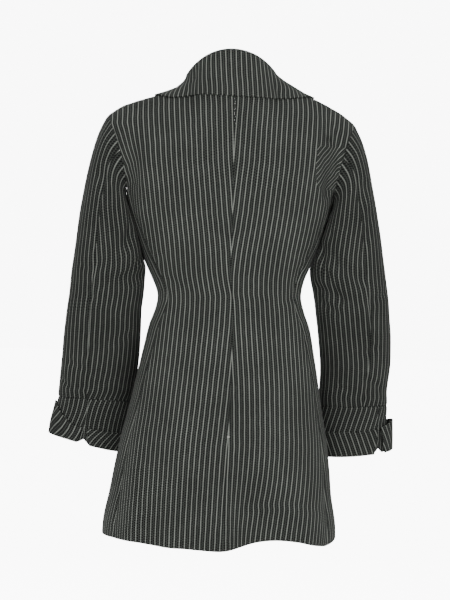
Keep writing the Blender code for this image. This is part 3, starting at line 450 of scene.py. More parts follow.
def topLine(face, share):
    # neckline and shoulder seam on the wearer's left, from the middle out to the shoulder point
    turn = 90 * np.clip(share / bodyShape["neckShare"], 0, 1)
    neck = neckPoint(turn if face > 0 else 180 - turn)
    g = np.clip((share - bodyShape["neckShare"]) / (1 - bodyShape["neckShare"]), 0, 1)
    x = bodyShape["neckHalfWidth"] + (bodyShape["shoulderPoint"] - bodyShape["neckHalfWidth"]) * g
    z = bodyShape["neckSideHeight"] - bodyShape["shoulderSlope"] * g
    z = z - bodyShape["shoulderRounding"] * g ** 3
    shoulder = pointsOf(x, 0.0, z)
    return np.where((share < bodyShape["neckShare"])[..., None], neck, shoulder)


def armholeOval(turn):
    s, c = sinCos(turn)
    up = np.array(bodyShape["armholeUp"])
    up = up / np.linalg.norm(up)
    cut = pointsOf(-bodyShape["armholeCutIn"] * s * s, bodyShape["armholeHalfDepth"] * s, 0.0)
    up = up * (bodyShape["armholeHalfHeight"] * c)[..., None]
    return np.array(bodyShape["armholeCentre"]) + up + cut


def armholePoint(turn):
    # the seam line on the wearer's left: 0 at the shoulder, 90 at the back, 180 underarm
    turn = np.asarray(turn, dtype=float) % 360
    first = bodyShape["armholeSeamTurn"]
    c = np.clip((turn - first) / (360 - 2 * first), 0, 1)
    z = bodyShape["chest"] - bodyShape["armholeDip"] * np.sin(np.pi * c)
    seam = readTorso("seamAngle", z)
    under = torsoPoint(seam + (180 - 2 * seam) * c, z)
    fromTop = np.minimum(turn, 360 - turn)
    result = under
    for face, endTurn in ((1, first), (-1, 360 - first)):
        pull = chestPoint(face, np.ones(())) - armholeOval(np.array(endTurn))
        upper = armholeOval(turn) + pull * ((fromTop / first) ** 2)[..., None]
        pick = (turn < 180) if face > 0 else (turn >= 180)
        result = np.where((pick & (fromTop < first))[..., None], upper, result)
    return result


def yokePoint(face, share, rise):
    # the body above the chest on the wearer's left: share out to the armhole, rise up to the top
    def column(part):
        low, high = chestPoint(face, part), topLine(face, part)
        s, c = np.sin(np.pi / 2 * rise), np.cos(np.pi / 2 * rise)
        plain = pointsOf(
            low[..., 0] + (high[..., 0] - low[..., 0]) * s,
            high[..., 1] + (low[..., 1] - high[..., 1]) * c,
            low[..., 2] + (high[..., 2] - low[..., 2]) * s)
        if face > 0:
            return plain
        topTurn = np.arccos(np.clip(high[..., 1] / low[..., 1], -1, 1))
        s, c = np.sin(topTurn * rise), np.cos(topTurn * rise)
        cut = pointsOf(
            low[..., 0] + (high[..., 0] - low[..., 0]) * s / np.maximum(np.sin(topTurn), 1e-6),
            low[..., 1] * c,
            low[..., 2] + (bodyShape["neckSideHeight"] - low[..., 2]) * s)
        return np.where((part < bodyShape["neckShare"])[..., None], cut, plain)

    turn = bodyShape["armholeSeamTurn"] * (1 - rise)
    edge = armholePoint(turn if face > 0 else 360 - turn)
    pull = (share ** bodyShape["armholePull"])[..., None]
    return column(share) + (edge - column(np.ones_like(share))) * pull


def halfBody(face, share, v, side):
    # one front or back: v climbs from the hem, 0, to the chest, 1, and on to the top, 2
    z = np.full(share.shape, bodyShape["chest"])
    for _ in range(bodyShape["hemRounds"]):
        angle = chestAngle(face, share, z)
        bottom = hemHeight(side * angle)
        z = bottom + (bodyShape["chest"] - bottom) * np.minimum(v, 1)
    lower = torsoPoint(side * angle, z)
    upper = yokePoint(face, share, np.clip(v - 1, 0, 1))
    upper[..., 0] *= side
    for rows, fading in ((foldRows, "foldFade"), (creaseRows, "creaseFade")):
        start, ramp, power = bodyShape[fading]
        fade = (1 - ease((v - start) / ramp)) * (1 - share ** power)
        upper[..., 1] += bodyPush(upper, face, rows) * fade
    return np.where((v > 1)[..., None], upper, lower)


def sideBody(share, v, side):
    top = bodyShape["chest"] - bodyShape["armholeDip"] * np.sin(np.pi * share)
    z = top
    for _ in range(bodyShape["hemRounds"]):
        seam = readTorso("seamAngle", z)
        angle = seam + (180 - 2 * seam) * share
        bottom = hemHeight(side * angle)
        z = bottom + (top - bottom) * v
    return torsoPoint(side * angle, z)


# The sleeve's form, on the wearer's left
def ringFrame(u, side):
    place = {}
    for name in ("outX", "outZ", "underX", "underZ"):
        place[name] = readSleeve(name, u) + np.interp(u, *armCurves[side][name])
    out = pointsOf(place["outX"], 0.0, place["outZ"])
    under = pointsOf(place["underX"], 0.0, place["underZ"])
    middle = (out + under) / 2
    middle[..., 1] = readSleeve("middleY", u)
    return middle, (out - under) / 2


def sleeveRing(u, turn, side, creases=((1.0, sleeveCreaseRows),)):
    middle, across = ringFrame(u, side)
    s, c = sinCos(turn)
    n = sleeveCut["squareness"]
    reach = (np.abs(s) ** n + np.abs(c) ** n) ** (-1 / n)
    arm = across * c[..., None] + pointsOf(0.0, readSleeve("halfDepth", u) * s, 0.0)
    points = middle + arm * reach[..., None]
    points[..., 2] += np.interp(u, *armCurves[side]["backZ"]) * s
    arm = arm / np.linalg.norm(arm, axis=-1, keepdims=True)
    push = np.zeros(points.shape[:-1])
    for strength, row in [(part, row) for part, rows in creases for row in rows]:
        crease = dict(zip(sleeveCreaseColumns, row))
        if crease["side"] == side:
            scale = math.radians(1) * sleeveCut["creaseRadius"]
            distance, _ = alongSegment(
                (turn % 360) * scale, points[..., 2], crease["topTurn"] * scale, crease["topZ"],
                crease["footTurn"] * scale, crease["footZ"])
            push += strength * crease["depth"] * bell(distance / crease["halfWidth"])
    overhang = bell((u - sleeveCut["bulgeRing"]) / sleeveCut["bulgeRings"])
    push += sleeveCut["bulge"] * (overhang * (u < sleeveCut["cuffStart"]) * np.maximum(s, 0.0))
    return points + arm * push[..., None]


def clearOfBody(points, u):
    # where the arm hangs against the body, the sleeve lies flat on it and never inside it
    z = points[..., 2]
    n = readTorso("squareness", z)
    depth = np.where(points[..., 1] > 0, readTorso("back", z), readTorso("front", z))
    reach = np.clip(1 - (np.abs(points[..., 1]) / depth) ** n, 0.0, 1.0) ** (1 / n)
    least = readTorso("halfWidth", z) * reach + sleeveCut["restGap"] * ease(u / sleeveCut["restRamp"])
    inside = (z < bodyShape["chest"]) & (points[..., 0] < least)
    points[..., 0] = np.where(inside, least, points[..., 0])
    return points


def sleevePoint(u, turn, side, startTurn):
    start = armholePoint(startTurn)
    hold = np.maximum(1 - u / sleeveCut["headHold"], 0.0) ** 2
    offset = start - sleeveRing(np.zeros_like(u), startTurn, side)
    allCreases = ((1.0, sleeveCreaseRows), (sleeveCut["fineShare"], sleeveFineRows))
    return clearOfBody(sleeveRing(u, turn, side, allCreases) + offset * hold[..., None], u)


def wornShift(points):
    # the wearer's sway, and the left shoulder's drop
    shape = bodyShape
    moved = points.copy()
    drop = bell((points[..., 0] - shape["dropX"]) / shape["dropHalfWidth"])
    drop *= ease((points[..., 2] - shape["dropFoot"]) / shape["dropRamp"])
    moved[..., 0] += np.interp(points[..., 2], *swayCurve)
    moved[..., 2] += shape["drop"] * drop
    return moved


# Grids of points, row by row up the cloth
def shareGrid(first, last, columns, low, high, rows):
    return np.meshgrid(np.linspace(first, last, columns), np.linspace(low, high, rows))


def gridNormals(points, outward):
    across = np.gradient(points, axis=1)
    along = np.gradient(points, axis=0)
    normals = np.cross(across, along)
    normals /= np.maximum(np.linalg.norm(normals, axis=-1, keepdims=True), 1e-12)
    facing = np.sign(np.sum(normals * outward))
    return normals * facing, facing


def arcs(points, axis):
    steps = np.linalg.norm(np.diff(points, axis=axis), axis=-1)
    start = np.zeros_like(np.take(steps, [0], axis=axis))
    return np.concatenate([start, np.cumsum(steps, axis=axis)], axis=axis)


def seamPush(points, edges, seed):
    # seams sink along the edges, with small puckers beside them
    across, along = arcs(points, 1), arcs(points, 0)
    push = np.zeros(points.shape[:2])
    reach = {
        "left": (across, along), "right": (across[:, -1:] - across, along),
        "foot": (along, across), "top": (along[-1:, :] - along, across),
    }
    for number, edge in enumerate(edges):
        distance, run = reach[edge]
        push -= coatCut["seamDip"] * np.exp(-(distance / coatCut["seamHalfWidth"]) ** 2)
        crowding = coatCut["puckerCrowding"] * np.sin(run / coatCut["puckerDrift"] + seed)
        wave = np.sin(run / coatCut["puckerWave"] + crowding + number)
        steady, swelling = coatCut["puckerShare"]
        wave *= steady + swelling * np.sin(run / coatCut["puckerSwell"] + 2 * seed + number)
        wave *= ease(distance / (2 * coatCut["seamHalfWidth"]))
        push += coatCut["puckerDepth"] * wave * np.exp(-(distance / coatCut["puckerReach"]) ** 2)
    return push


def softPush(points):
    # slow unevenness that worn wool has everywhere
    push = np.zeros(points.shape[:2])
    for i in range(points.shape[0]):
        for j in range(points.shape[1]):
            x, y, z = points[i, j]
            for share, across, up in coatCut["softWaves"]:
                push[i, j] += share * noise.noise(Vector((x * across, y * across, z * up)))
    return coatCut["softness"] * push


# The height at which edges begin to stay on the armhole's seam, and how far in from them.
armholeStay = {"upper": -0.130, "ramp": 0.030, "reach": 0.007}


def stayShare(points, edge, lowest):
    # under the arm the sleeve's and the body's edges stay exactly on their seam
    across, along = arcs(points, 1), arcs(points, 0)
    distance = {"right": across[:, -1:] - across, "top": along[-1:, :] - along, "foot": along}[edge]
    under = 1 - ease((points[..., 2] - armholeStay["upper"]) / armholeStay["ramp"])
    under *= points[..., 2] > lowest
    return 1 - under * np.exp(-(distance / armholeStay["reach"]) ** 2)


def newObject(name, data):
    piece = bpy.data.objects.new(name, data)
    bpy.context.scene.collection.objects.link(piece)
    return piece


def meshObject(name, bm, material, wallDepth=0.0):
    mesh = bpy.data.meshes.new(name)
    bm.to_mesh(mesh)
    bm.free()
    mesh.materials.append(material)
    piece = newObject(name, mesh)
    if wallDepth:
        mesh.shade_smooth()
        wall = piece.modifiers.new("wall", "SOLIDIFY")
        wall.thickness = wallDepth
        wall.offset = -1.0
    return piece


def clothPiece(node, points, uv, outward, edges, ring=False, sharp=None, stay=None):
    # a grid whose corners are moved on to the form, then given the cloth's thickness
    look = dict(zip(pieceColumns, pieceRows[node]))
    rows, columns = points.shape[:2]
    normals, facing = gridNormals(points, outward)
    push = seamPush(points, edges, look["puckers"]) + softPush(points)
    if stay:
        push *= stayShare(points, *stay)
    points = wornShift(points + normals * push[..., None])
    bm = bmesh.new()
    bmesh.ops.create_grid(bm, x_segments=columns - 1, y_segments=rows - 1, size=0.5)
    layer = bm.loops.layers.uv.new("cloth")
    places = {}
    for vert in bm.verts:
        i = round((vert.co.y + 0.5) * (rows - 1))
        j = round((vert.co.x + 0.5) * (columns - 1))
        places[vert] = (i, j)
    for face in bm.faces:
        corner = tuple(min(places[vert][axis] for vert in face.verts) for axis in (0, 1))
        cloth = sharp[1] if sharp and sharp[0][corner] else uv
        for loop in face.loops:
            loop[layer].uv = cloth[places[loop.vert]]
    for vert, place in places.items():
        vert.co = points[place]
    if facing < 0:
        bmesh.ops.reverse_faces(bm, faces=bm.faces)
    if ring:
        bmesh.ops.remove_doubles(bm, verts=bm.verts, dist=coatCut["ringJoin"])
    name = node + "_cloth"
    piece = meshObject(name, bm, woolMaterial(node + "_wool", look), coatCut["cloth"])
    rim = piece.modifiers.new("rim", "BEVEL")
    rim.width = coatCut["rim"]
    rim.segments = coatCut["rimSegments"]
    rim.profile = 0.5
    rim.limit_method = "ANGLE"
    rim.angle_limit = math.radians(coatCut["rimAngle"])
    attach(piece, "root")
    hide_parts(node)


# The woven cloth: pale dashed stripes with a ladder of dark gaps between them
woolLook = {
    "pitch": 0.00875,
    "stripeWidth": 0.0011,
    "dashPitch": 0.0046,
    "rungPitch": 0.0041,
    "ground": (0.064, 0.070, 0.063, 1.0),
    "gap": (0.0012, 0.0014, 0.0012, 1.0),
    "stripe": (0.310, 0.326, 0.296, 1.0),
    "roughness": 0.92,
    "specular": 0.12,
    "sheen": 0.02,
    "sheenRoughness": 0.6,
    "bumpStrength": 0.7,
    "bumpDistance": 0.0004,
}
weaveCut = {
    "waver": 0.0012,            # how far the threads wander, and how often
    "waverScale": 45.0,
    "stripeEdges": (1.45, 0.55),    # of half a stripe's width
    "dashShift": 0.37,          # from one stripe to the next
    "dashEdges": (0.46, 0.30),
    "dashShare": (0.70, 0.30),  # how much of a stripe is dashed, and how much is not
    "rungHalf": 0.40,           # half of a gap, in rungs
    "gapPlace": 0.20,           # from midway between stripes, in pitches
    "gapHalf": 0.18,
    "gapEdges": (1.30, 0.70),
    "patchScale": 150.0,
    "patchEdges": (0.25, 0.60),
    "patchShare": (0.20, 0.80),
    "yarnScale": 1100.0,
    "fleckEdges": (0.25, 0.75),
    "fleckShare": (0.50, 0.62),
    "wornScale": 16.0,
    "wornEdges": (0.30, 0.70),
    "wornShare": (0.22, 0.90),
    "yarnHeight": 0.8,
}


def feed(tree, socket, value):
    # a fixed value, or what another node puts out
    if isinstance(value, bpy.types.NodeSocket):
        tree.links.new(value, socket)
    else:
        socket.default_value = value


def mathStep(tree, operation, *values):
    node = tree.nodes.new("ShaderNodeMath")
    node.operation = operation
    for socket, value in zip(node.inputs, values):
        feed(tree, socket, value)
    return node.outputs[0]


def softStep(tree, value, low, high):
    node = tree.nodes.new("ShaderNodeMapRange")
    node.interpolation_type = "SMOOTHSTEP"
    for name, given in (("Value", value), ("From Min", low), ("From Max", high)):
        feed(tree, node.inputs[name], given)
    return node.outputs["Result"]


def mixColours(tree, share, first, second):
    node = tree.nodes.new("ShaderNodeMix")
    node.data_type = "RGBA"
    for number, given in ((0, share), (6, first), (7, second)):
        feed(tree, node.inputs[number], given)
    return node.outputs[2]


def noiseFactor(tree, vector, scale, detail):
    node = tree.nodes.new("ShaderNodeTexNoise")
    node.inputs["Scale"].default_value = scale
    node.inputs["Detail"].default_value = detail
    tree.links.new(vector, node.inputs["Vector"])
    return node.outputs["Fac"]


def scaleAndAdd(tree, value, share):
    return mathStep(tree, "ADD", mathStep(tree, "MULTIPLY", value, share[0]), share[1])


def makeWeave():
    cut = weaveCut
    group = bpy.data.node_groups.new("pinstripeWeave", "ShaderNodeTree")
    for name, way, kind in (
        ("Cloth", "INPUT", "Vector"), ("Pitch", "INPUT", "Float"), ("Stripe Width", "INPUT", "Float"),
        ("Dash Pitch", "INPUT", "Float"), ("Rung Pitch", "INPUT", "Float"), ("Ground", "INPUT", "Color"),
        ("Gap", "INPUT", "Color"), ("Stripe", "INPUT", "Color"), ("Colour", "OUTPUT", "Color"),
        ("Height", "OUTPUT", "Float"),
    ):
        group.interface.new_socket(name, in_out=way, socket_type="NodeSocket" + kind)
    enter = group.nodes.new("NodeGroupInput").outputs
    leave = group.nodes.new("NodeGroupOutput")
    cloth, pitch = enter["Cloth"], enter["Pitch"]
    split = group.nodes.new("ShaderNodeSeparateXYZ")
    group.links.new(cloth, split.inputs[0])

    def maths(operation, *values):
        return mathStep(group, operation, *values)

    # place across and along the cloth, a little unsteady as woven cloth is
    slow = noiseFactor(group, cloth, cut["waverScale"], 1.0)
    waver = maths("MULTIPLY", maths("SUBTRACT", slow, 0.5), cut["waver"])
    across = maths("DIVIDE", maths("ADD", split.outputs[0], waver), pitch)
    along = split.outputs[1]
    number = maths("FLOOR", maths("ADD", across, 0.5))
    fromStripe = maths("ABSOLUTE", maths("SUBTRACT", across, number))
    fromStripe = maths("MULTIPLY", fromStripe, pitch)
    half = maths("MULTIPLY", enter["Stripe Width"], 0.5)
    stripe = softStep(
        group, fromStripe, maths("MULTIPLY", half, cut["stripeEdges"][0]),
        maths("MULTIPLY", half, cut["stripeEdges"][1]))

    # the stripe's thread comes up in dashes
    dash = maths("DIVIDE", along, enter["Dash Pitch"])
    dash = maths("ADD", dash, maths("MULTIPLY", number, cut["dashShift"]))
    dash = maths("ABSOLUTE", maths("SUBTRACT", maths("FRACT", dash), 0.5))
    dash = scaleAndAdd(group, softStep(group, dash, *cut["dashEdges"]), cut["dashShare"])

    # the ladder between stripes: two columns of dark gaps
    rung = maths("DIVIDE", along, enter["Rung Pitch"])
    rung = maths("ADD", rung, maths("MULTIPLY", number, 0.5))
    rung = maths("SUBTRACT", maths("FRACT", rung), 0.5)
    rung = maths("DIVIDE", rung, cut["rungHalf"])
    fromMiddle = maths("SUBTRACT", maths("MULTIPLY", pitch, 0.5), fromStripe)
    aside = maths("SUBTRACT", fromMiddle, maths("MULTIPLY", pitch, cut["gapPlace"]))
    aside = maths("DIVIDE", aside, maths("MULTIPLY", pitch, cut["gapHalf"]))
    oval = maths(
        "ADD", maths("MULTIPLY", rung, rung), maths("MULTIPLY", aside, aside))
    patchy = softStep(group, noiseFactor(group, cloth, cut["patchScale"], 2.0), *cut["patchEdges"])
    gap = maths(
        "MULTIPLY", softStep(group, oval, *cut["gapEdges"]),
        scaleAndAdd(group, patchy, cut["patchShare"]))

    # colours, with the yarn's own unevenness
    yarn = noiseFactor(group, cloth, cut["yarnScale"], 2.0)
    fleck = softStep(group, yarn, *cut["fleckEdges"])
    worn = softStep(group, noiseFactor(group, cloth, cut["wornScale"], 3.0), *cut["wornEdges"])
    tone = maths(
        "MULTIPLY", scaleAndAdd(group, fleck, cut["fleckShare"]),
        scaleAndAdd(group, worn, cut["wornShare"]))
    colour = mixColours(group, gap, enter["Ground"], enter["Gap"])
    pale = maths("MULTIPLY", stripe, dash)
    colour = mixColours(group, pale, colour, enter["Stripe"])
    shade = group.nodes.new("ShaderNodeVectorMath")
    shade.operation = "SCALE"
    group.links.new(colour, shade.inputs[0])
    group.links.new(tone, shade.inputs["Scale"])
    group.links.new(shade.outputs[0], leave.inputs["Colour"])
    height = maths("SUBTRACT", maths("MULTIPLY", stripe, dash), gap)
    height = maths("ADD", height, maths("MULTIPLY", yarn, cut["yarnHeight"]))
    group.links.new(height, leave.inputs["Height"])
    return group


weave = makeWeave()


def newMaterial(name, roughness):
    material = bpy.data.materials.new(name)
    material.use_nodes = True
    shader = material.node_tree.nodes["Principled BSDF"]
    shader.inputs["Roughness"].default_value = roughness
    return material, material.node_tree, shader


def woolMaterial(name, look):
    material, tree, shader = newMaterial(name, woolLook["roughness"])
    shader.inputs["Metallic"].default_value = 0.0
    shader.inputs["Specular IOR Level"].default_value = woolLook["specular"]
    shader.inputs["Sheen Weight"].default_value = woolLook["sheen"]
    shader.inputs["Sheen Roughness"].default_value = woolLook["sheenRoughness"]
    place = tree.nodes.new("ShaderNodeUVMap")
    place.uv_map = "cloth"
    mapping = tree.nodes.new("ShaderNodeMapping")
    mapping.inputs["Location"].default_value = (look["across"], look["up"], 0.0)
    mapping.inputs["Rotation"].default_value = (0.0, 0.0, math.radians(look["turn"]))
    tree.links.new(place.outputs[0], mapping.inputs["Vector"])
    cloth = tree.nodes.new("ShaderNodeGroup")
    cloth.node_tree = weave
    for socket, key in (
        ("Pitch", "pitch"), ("Stripe Width", "stripeWidth"), ("Dash Pitch", "dashPitch"),
        ("Rung Pitch", "rungPitch"), ("Ground", "ground"), ("Gap", "gap"), ("Stripe", "stripe"),
    ):
        value = woolLook[key]
        # painted shade: the piece's ground, gap and stripe colours are darkened by its shade
        cloth.inputs[socket].default_value = (
            [part * look["shade"] for part in value[:3]] + [1.0] if isinstance(value, tuple) else value)
    tree.links.new(mapping.outputs[0], cloth.inputs["Cloth"])
    tree.links.new(cloth.outputs["Colour"], shader.inputs["Base Color"])
    bump = tree.nodes.new("ShaderNodeBump")
    bump.inputs["Strength"].default_value = woolLook["bumpStrength"]
    bump.inputs["Distance"].default_value = woolLook["bumpDistance"]
    tree.links.new(cloth.outputs["Height"], bump.inputs["Height"])
    tree.links.new(bump.outputs[0], shader.inputs["Normal"])
    return material


# The body's panels. Stripes keep their distance on the cloth and end on the shaped seams.
panelCut = {
    "columns": 60,
    "sideColumns": 36,
    "frontColumns": 70,
    "rowsBelow": 130,
    "rowsAbove": 44,
    "backCut": (            # how much the middle back seam takes out of each side, by height
        (-0.800, 0.0090), (-0.600, 0.0130), (-0.500, 0.0190), (-0.400, 0.0270), (-0.345, 0.0300),
        (-0.273, 0.0237), (-0.206, 0.0150), (-0.117, 0.0062), (0.000, 0.0000), (0.040, 0.0000)),
    "frontStart": -0.18,
    "flatRise": 0.6,        # the climb above the chest by which stripes are spaced as seen
    "liftFrom": -0.10,      # above this the cloth faces up as well as out
    "liftGain": 4,
    "stayBelow": 0.0005,    # how far below the chest an edge still stays on the armhole's seam
}
# Where the stripes lean beside an armhole: the line that they lean beyond, and by how much.
bendColumns = ("side", "topX", "topZ", "footX", "footZ", "width", "slope")
bendRows = (
    (1, 0.158, -0.055, 0.150, -0.130, 0.045, 0.30),
    (-1, 0.145, -0.015, 0.165, -0.085, 0.020, 0.16),
)
# Where they lean sharply beyond a fold of the back: from a height, to a height, beyond an x.
sharpBend = {"side": -1, "top": -0.084, "foot": -0.160, "x": 0.1430, "slope": 0.75}


def bodyUv(points, climb, start, cut):
    # u runs out from the middle of the panel's grain, v up the cloth
    steps = np.diff(points, axis=1)
    flatTop = ease((climb - 1.0) / panelCut["flatRise"])[:, None]
    across = np.sqrt(steps[..., 0] ** 2 + (steps[..., 1] * (1 - flatTop)) ** 2 + 1e-12)
    u = np.concatenate([np.zeros((len(climb), 1)), np.cumsum(across, axis=1)], axis=1)
    u = u - u[:, start][:, None] + cut[:, None]
    v = np.repeat(arcs(points, 0).mean(axis=1)[:, None], points.shape[1], axis=1)
    return np.stack([u, v], axis=-1)


def bendStripes(uv, points, side):
    for row in bendRows:
        bend = dict(zip(bendColumns, row))
        if bend["side"] != side:
            continue
        z = np.clip(points[..., 2], bend["footZ"], bend["topZ"])
        share = (bend["topZ"] - z) / (bend["topZ"] - bend["footZ"])
        line = bend["topX"] + (bend["footX"] - bend["topX"]) * share
        beyond = ease((np.abs(points[..., 0]) - line) / bend["width"])
        uv[..., 0] -= bend["slope"] * beyond * (z - bend["topZ"])
    return uv


def sharpStripes(uv, points, side):
    # the faces beyond the fold, and where their corners lie on the cloth
    if side != sharpBend["side"]:
        return None
    middle = (points[1:, 1:] + points[:-1, :-1]) / 2
    beyond = (middle[..., 2] < sharpBend["top"]) & (middle[..., 2] > sharpBend["foot"])
    beyond &= np.abs(middle[..., 0]) > sharpBend["x"]
    turned = uv.copy()
    turned[..., 0] -= sharpBend["slope"] * (points[..., 2] - sharpBend["top"])
    return beyond, turned


def outFromBody(points):
    lift = np.maximum(points[..., 2] - panelCut["liftFrom"], 0.0) * panelCut["liftGain"]
    return pointsOf(points[..., 0], points[..., 1], lift)


def makePanels():
    cutTable = np.array(panelCut["backCut"])
    sideClimb = np.linspace(0, 1, panelCut["rowsBelow"])
    climb = np.concatenate([sideClimb, np.linspace(1, 2, panelCut["rowsAbove"])[1:]])
    lowest = bodyShape["chest"] - panelCut["stayBelow"]
    for side in (1, -1):
        word = sideWord[side]
        share, v = np.meshgrid(np.linspace(0, 1, panelCut["columns"]), climb)
        points = halfBody(1, share, v, side)
        cut = np.interp(points[:, 0, 2], cutTable[:, 0], cutTable[:, 1])
        uv = bendStripes(bodyUv(points, climb, 0, cut), points, side)
        clothPiece("back_" + word, points, uv, outFromBody(points), ("left", "right", "top"),
                   sharp=sharpStripes(uv, points, side), stay=("right", lowest))

        share, v = np.meshgrid(np.linspace(0, 1, panelCut["sideColumns"]), sideClimb)
        points = sideBody(share, v, side)
        uv = bodyUv(points, sideClimb, panelCut["sideColumns"] // 2, np.zeros(len(sideClimb)))
        clothPiece("side_" + word, points, uv, outFromBody(points), ("left", "right", "top"),
                   stay=("top", -1.0))

        share, v = np.meshgrid(np.linspace(panelCut["frontStart"], 1, panelCut["frontColumns"]), climb)
        points = halfBody(-1, np.abs(share), v, np.where(share < 0, -side, side))
        normals, _ = gridNormals(points, outFromBody(points))
        over = 1 - ease((np.abs(share) - bodyShape["overlapShare"]) / bodyShape["overlapRamp"])
        points = points - normals * (side * bodyShape["overlapStep"] * over)[..., None]
        uv = bodyUv(points, climb, int(np.argmin(np.abs(share[0]))), np.zeros(len(climb)))
        clothPiece("front_" + word, points, uv, outFromBody(points), ("right", "top"),
                   stay=("right", lowest))


makePanels()
print("coat: body panels made")


# The sleeves. The top sleeve's stripes run with the outside of the arm.
sleeveMesh = {
    "rows": 150,
    "topColumns": 70,
    "underColumns": 52,
    "underMiddle": 150.0,   # the turn at which the under sleeve's grain runs
    "headRing": 2.0,        # above this ring the stripes keep their turn round the arm
}


def sleeveUv(u, turns, baseTurn, side):
    # stripes lie along the arm, so both measures are taken square to the arm's line
    middle, _ = ringFrame(u[:, 0], side)
    line = np.gradient(middle, axis=0)
    line /= np.linalg.norm(line, axis=-1, keepdims=True)
    run = np.concatenate([[0.0], np.cumsum(np.linalg.norm(np.diff(middle, axis=0), axis=-1))])
    points = sleeveRing(u, turns, side, ())
    below = np.maximum(u, sleeveMesh["headRing"])
    first = int(np.argmax(u[:, 0] >= sleeveMesh["headRing"]))
    lower = np.maximum(np.arange(len(run)), first)
    steps = np.diff(sleeveRing(below, turns, side, ()), axis=1)
    along = np.sum(steps * line[lower][:, None, :], axis=-1)
    across = np.sqrt(np.maximum(np.sum(steps ** 2, axis=-1) - along ** 2, 1e-14))
    arc = np.concatenate([np.zeros((len(run), 1)), np.cumsum(across, axis=1)], axis=1)
    base = np.array([np.interp(baseTurn, turns[i], arc[i]) for i in range(len(run))])
    v = run[:, None] + np.sum((points - middle[:, None, :]) * line[:, None, :], axis=-1)
    return np.stack([arc - base[:, None], v], axis=-1)


def sleeveTurns(kind, share, u):
    # the top sleeve runs from the front seam over to the back one, the under sleeve on from there
    back, front = readSleeve("backSeam", u), sleeveCut["frontSeam"]
    low, high = (front - 360, back) if kind == "top_sleeve_" else (back, front)
    return low + (high - low) * share


def armPiece(kind, points, uv, edges, u, side, **more):
    # shaped on the wearer's left, and mirrored for the right arm
    outward = points - ringFrame(u, side)[0]
    points[..., 0] *= side
    outward[..., 0] *= side
    clothPiece(kind + sideWord[side], points, uv, outward, edges, **more)


def makeSleeves():
    for side in (1, -1):
        for kind, columns, baseTurn in (
            ("top_sleeve_", sleeveMesh["topColumns"], 0.0),
            ("under_sleeve_", sleeveMesh["underColumns"], sleeveMesh["underMiddle"]),
        ):
            share, u = shareGrid(0, 1, columns, 0.0, sleeveCut["cuffStart"], sleeveMesh["rows"])
            turns = sleeveTurns(kind, share, u)
            points = sleevePoint(u, turns, side, sleeveTurns(kind, share, 0.0))
            armPiece(kind, points, sleeveUv(u, turns, baseTurn, side), ("left", "right", "foot", "top"),
                     u, side, stay=("foot", -1.0))


makeSleeves()
print("coat: sleeves made")


# Cuff bands with their notch, and the turned-back bands round them
cuffMesh = {
    "columns": 130,
    "rows": 26,
    "turnStep": 2,          # steps to each side over which its slope is taken
    "ringStep": 0.1,
}


def cuffNormals(u, turn, side):
    turnStep, ringStep = cuffMesh["turnStep"], cuffMesh["ringStep"]
    around = sleeveRing(u, turn + turnStep, side) - sleeveRing(u, turn - turnStep, side)
    down = sleeveRing(u + ringStep, turn, side) - sleeveRing(u - ringStep, turn, side)
    normals = np.cross(around, down)
    normals /= np.linalg.norm(normals, axis=-1, keepdims=True)
    outward = sleeveRing(u, turn, side) - ringFrame(u, side)[0]
    return normals * np.sign(np.sum(normals * outward, axis=-1))[..., None]


def cuffUv(points):
    u, v = arcs(points, 1), arcs(points, 0)
    return np.stack([u - u[:, -1:] / 2, v], axis=-1)


def makeCuffs():
    for side in (1, -1):
        notch = cuffCut["notchTurn"][side]
        half = cuffCut["notchHalfTurn"]
        top, foot = sleeveCut["cuffStart"] + cuffCut["cuffSeam"], sleeveCut["cuffEnd"]
        share, v = shareGrid(0, 1, cuffMesh["columns"], 0, 1, cuffMesh["rows"])
        turn = notch + 360 * share
        away = np.minimum(turn - notch, notch + 360 - turn)
        low = foot - cuffCut["notchHeight"] * np.maximum(1 - away / half, 0.0)
        u = top + (low - top) * v
        points = sleeveRing(u, turn, side)
        armPiece("cuff_", points, cuffUv(points), ("foot",), u, side, ring=True)

        narrow = cuffCut["notchTopShare"]
        openHalf = half * (narrow + (1 - narrow) * v)
        turn = notch + openHalf + (360 - 2 * openHalf) * share
        fromSide = (turn + 180) % 360 - 180
        flareShare = bell(fromSide / cuffCut["flareHalfTurn"])
        top = cuffCut["turnbackTop"][side] - cuffCut["turnbackRise"][side] * flareShare
        u = top + (cuffCut["turnbackEnd"] - top) * v
        flare = (cuffCut["topFlare"][side] * (1 - v) + cuffCut["footFlare"][side] * v) * flareShare
        lift = cuffCut["standOff"] + flare + coatCut["cloth"]
        points = sleeveRing(u, turn, side) + cuffNormals(u, turn, side) * lift[..., None]
        armPiece("turnback_", points, cuffUv(points), (), u, side)


makeCuffs()
print("coat: cuffs made")


# The collar stands up from the neck, rolls over and falls on the shoulders
collarMesh = {
    "columns": 180,
    "stand": 10,
    "roll": 12,
    "fall": 30,
    "treeSteps": 40,
    "edgeSteps": 400,
    "smoothing": 2,
    "edgeRise": 0.05,       # its free edge faces out and a little up
}


def yokeTree():
    count = collarMesh["treeSteps"] + 1
    verts, faces = [], []
    for face in (1, -1):
        rise, share = shareGrid(0, 1, count, 0, 1, count)
        first = len(verts)
        verts += [Vector(p) for p in yokePoint(face, share, rise).reshape(-1, 3)]
        for i in range(count - 1):
            for j in range(count - 1):
                k = first + i * count + j
                faces.append((k, k + count, k + count + 1, k + 1))
    return BVHTree.FromPolygons(verts, faces)


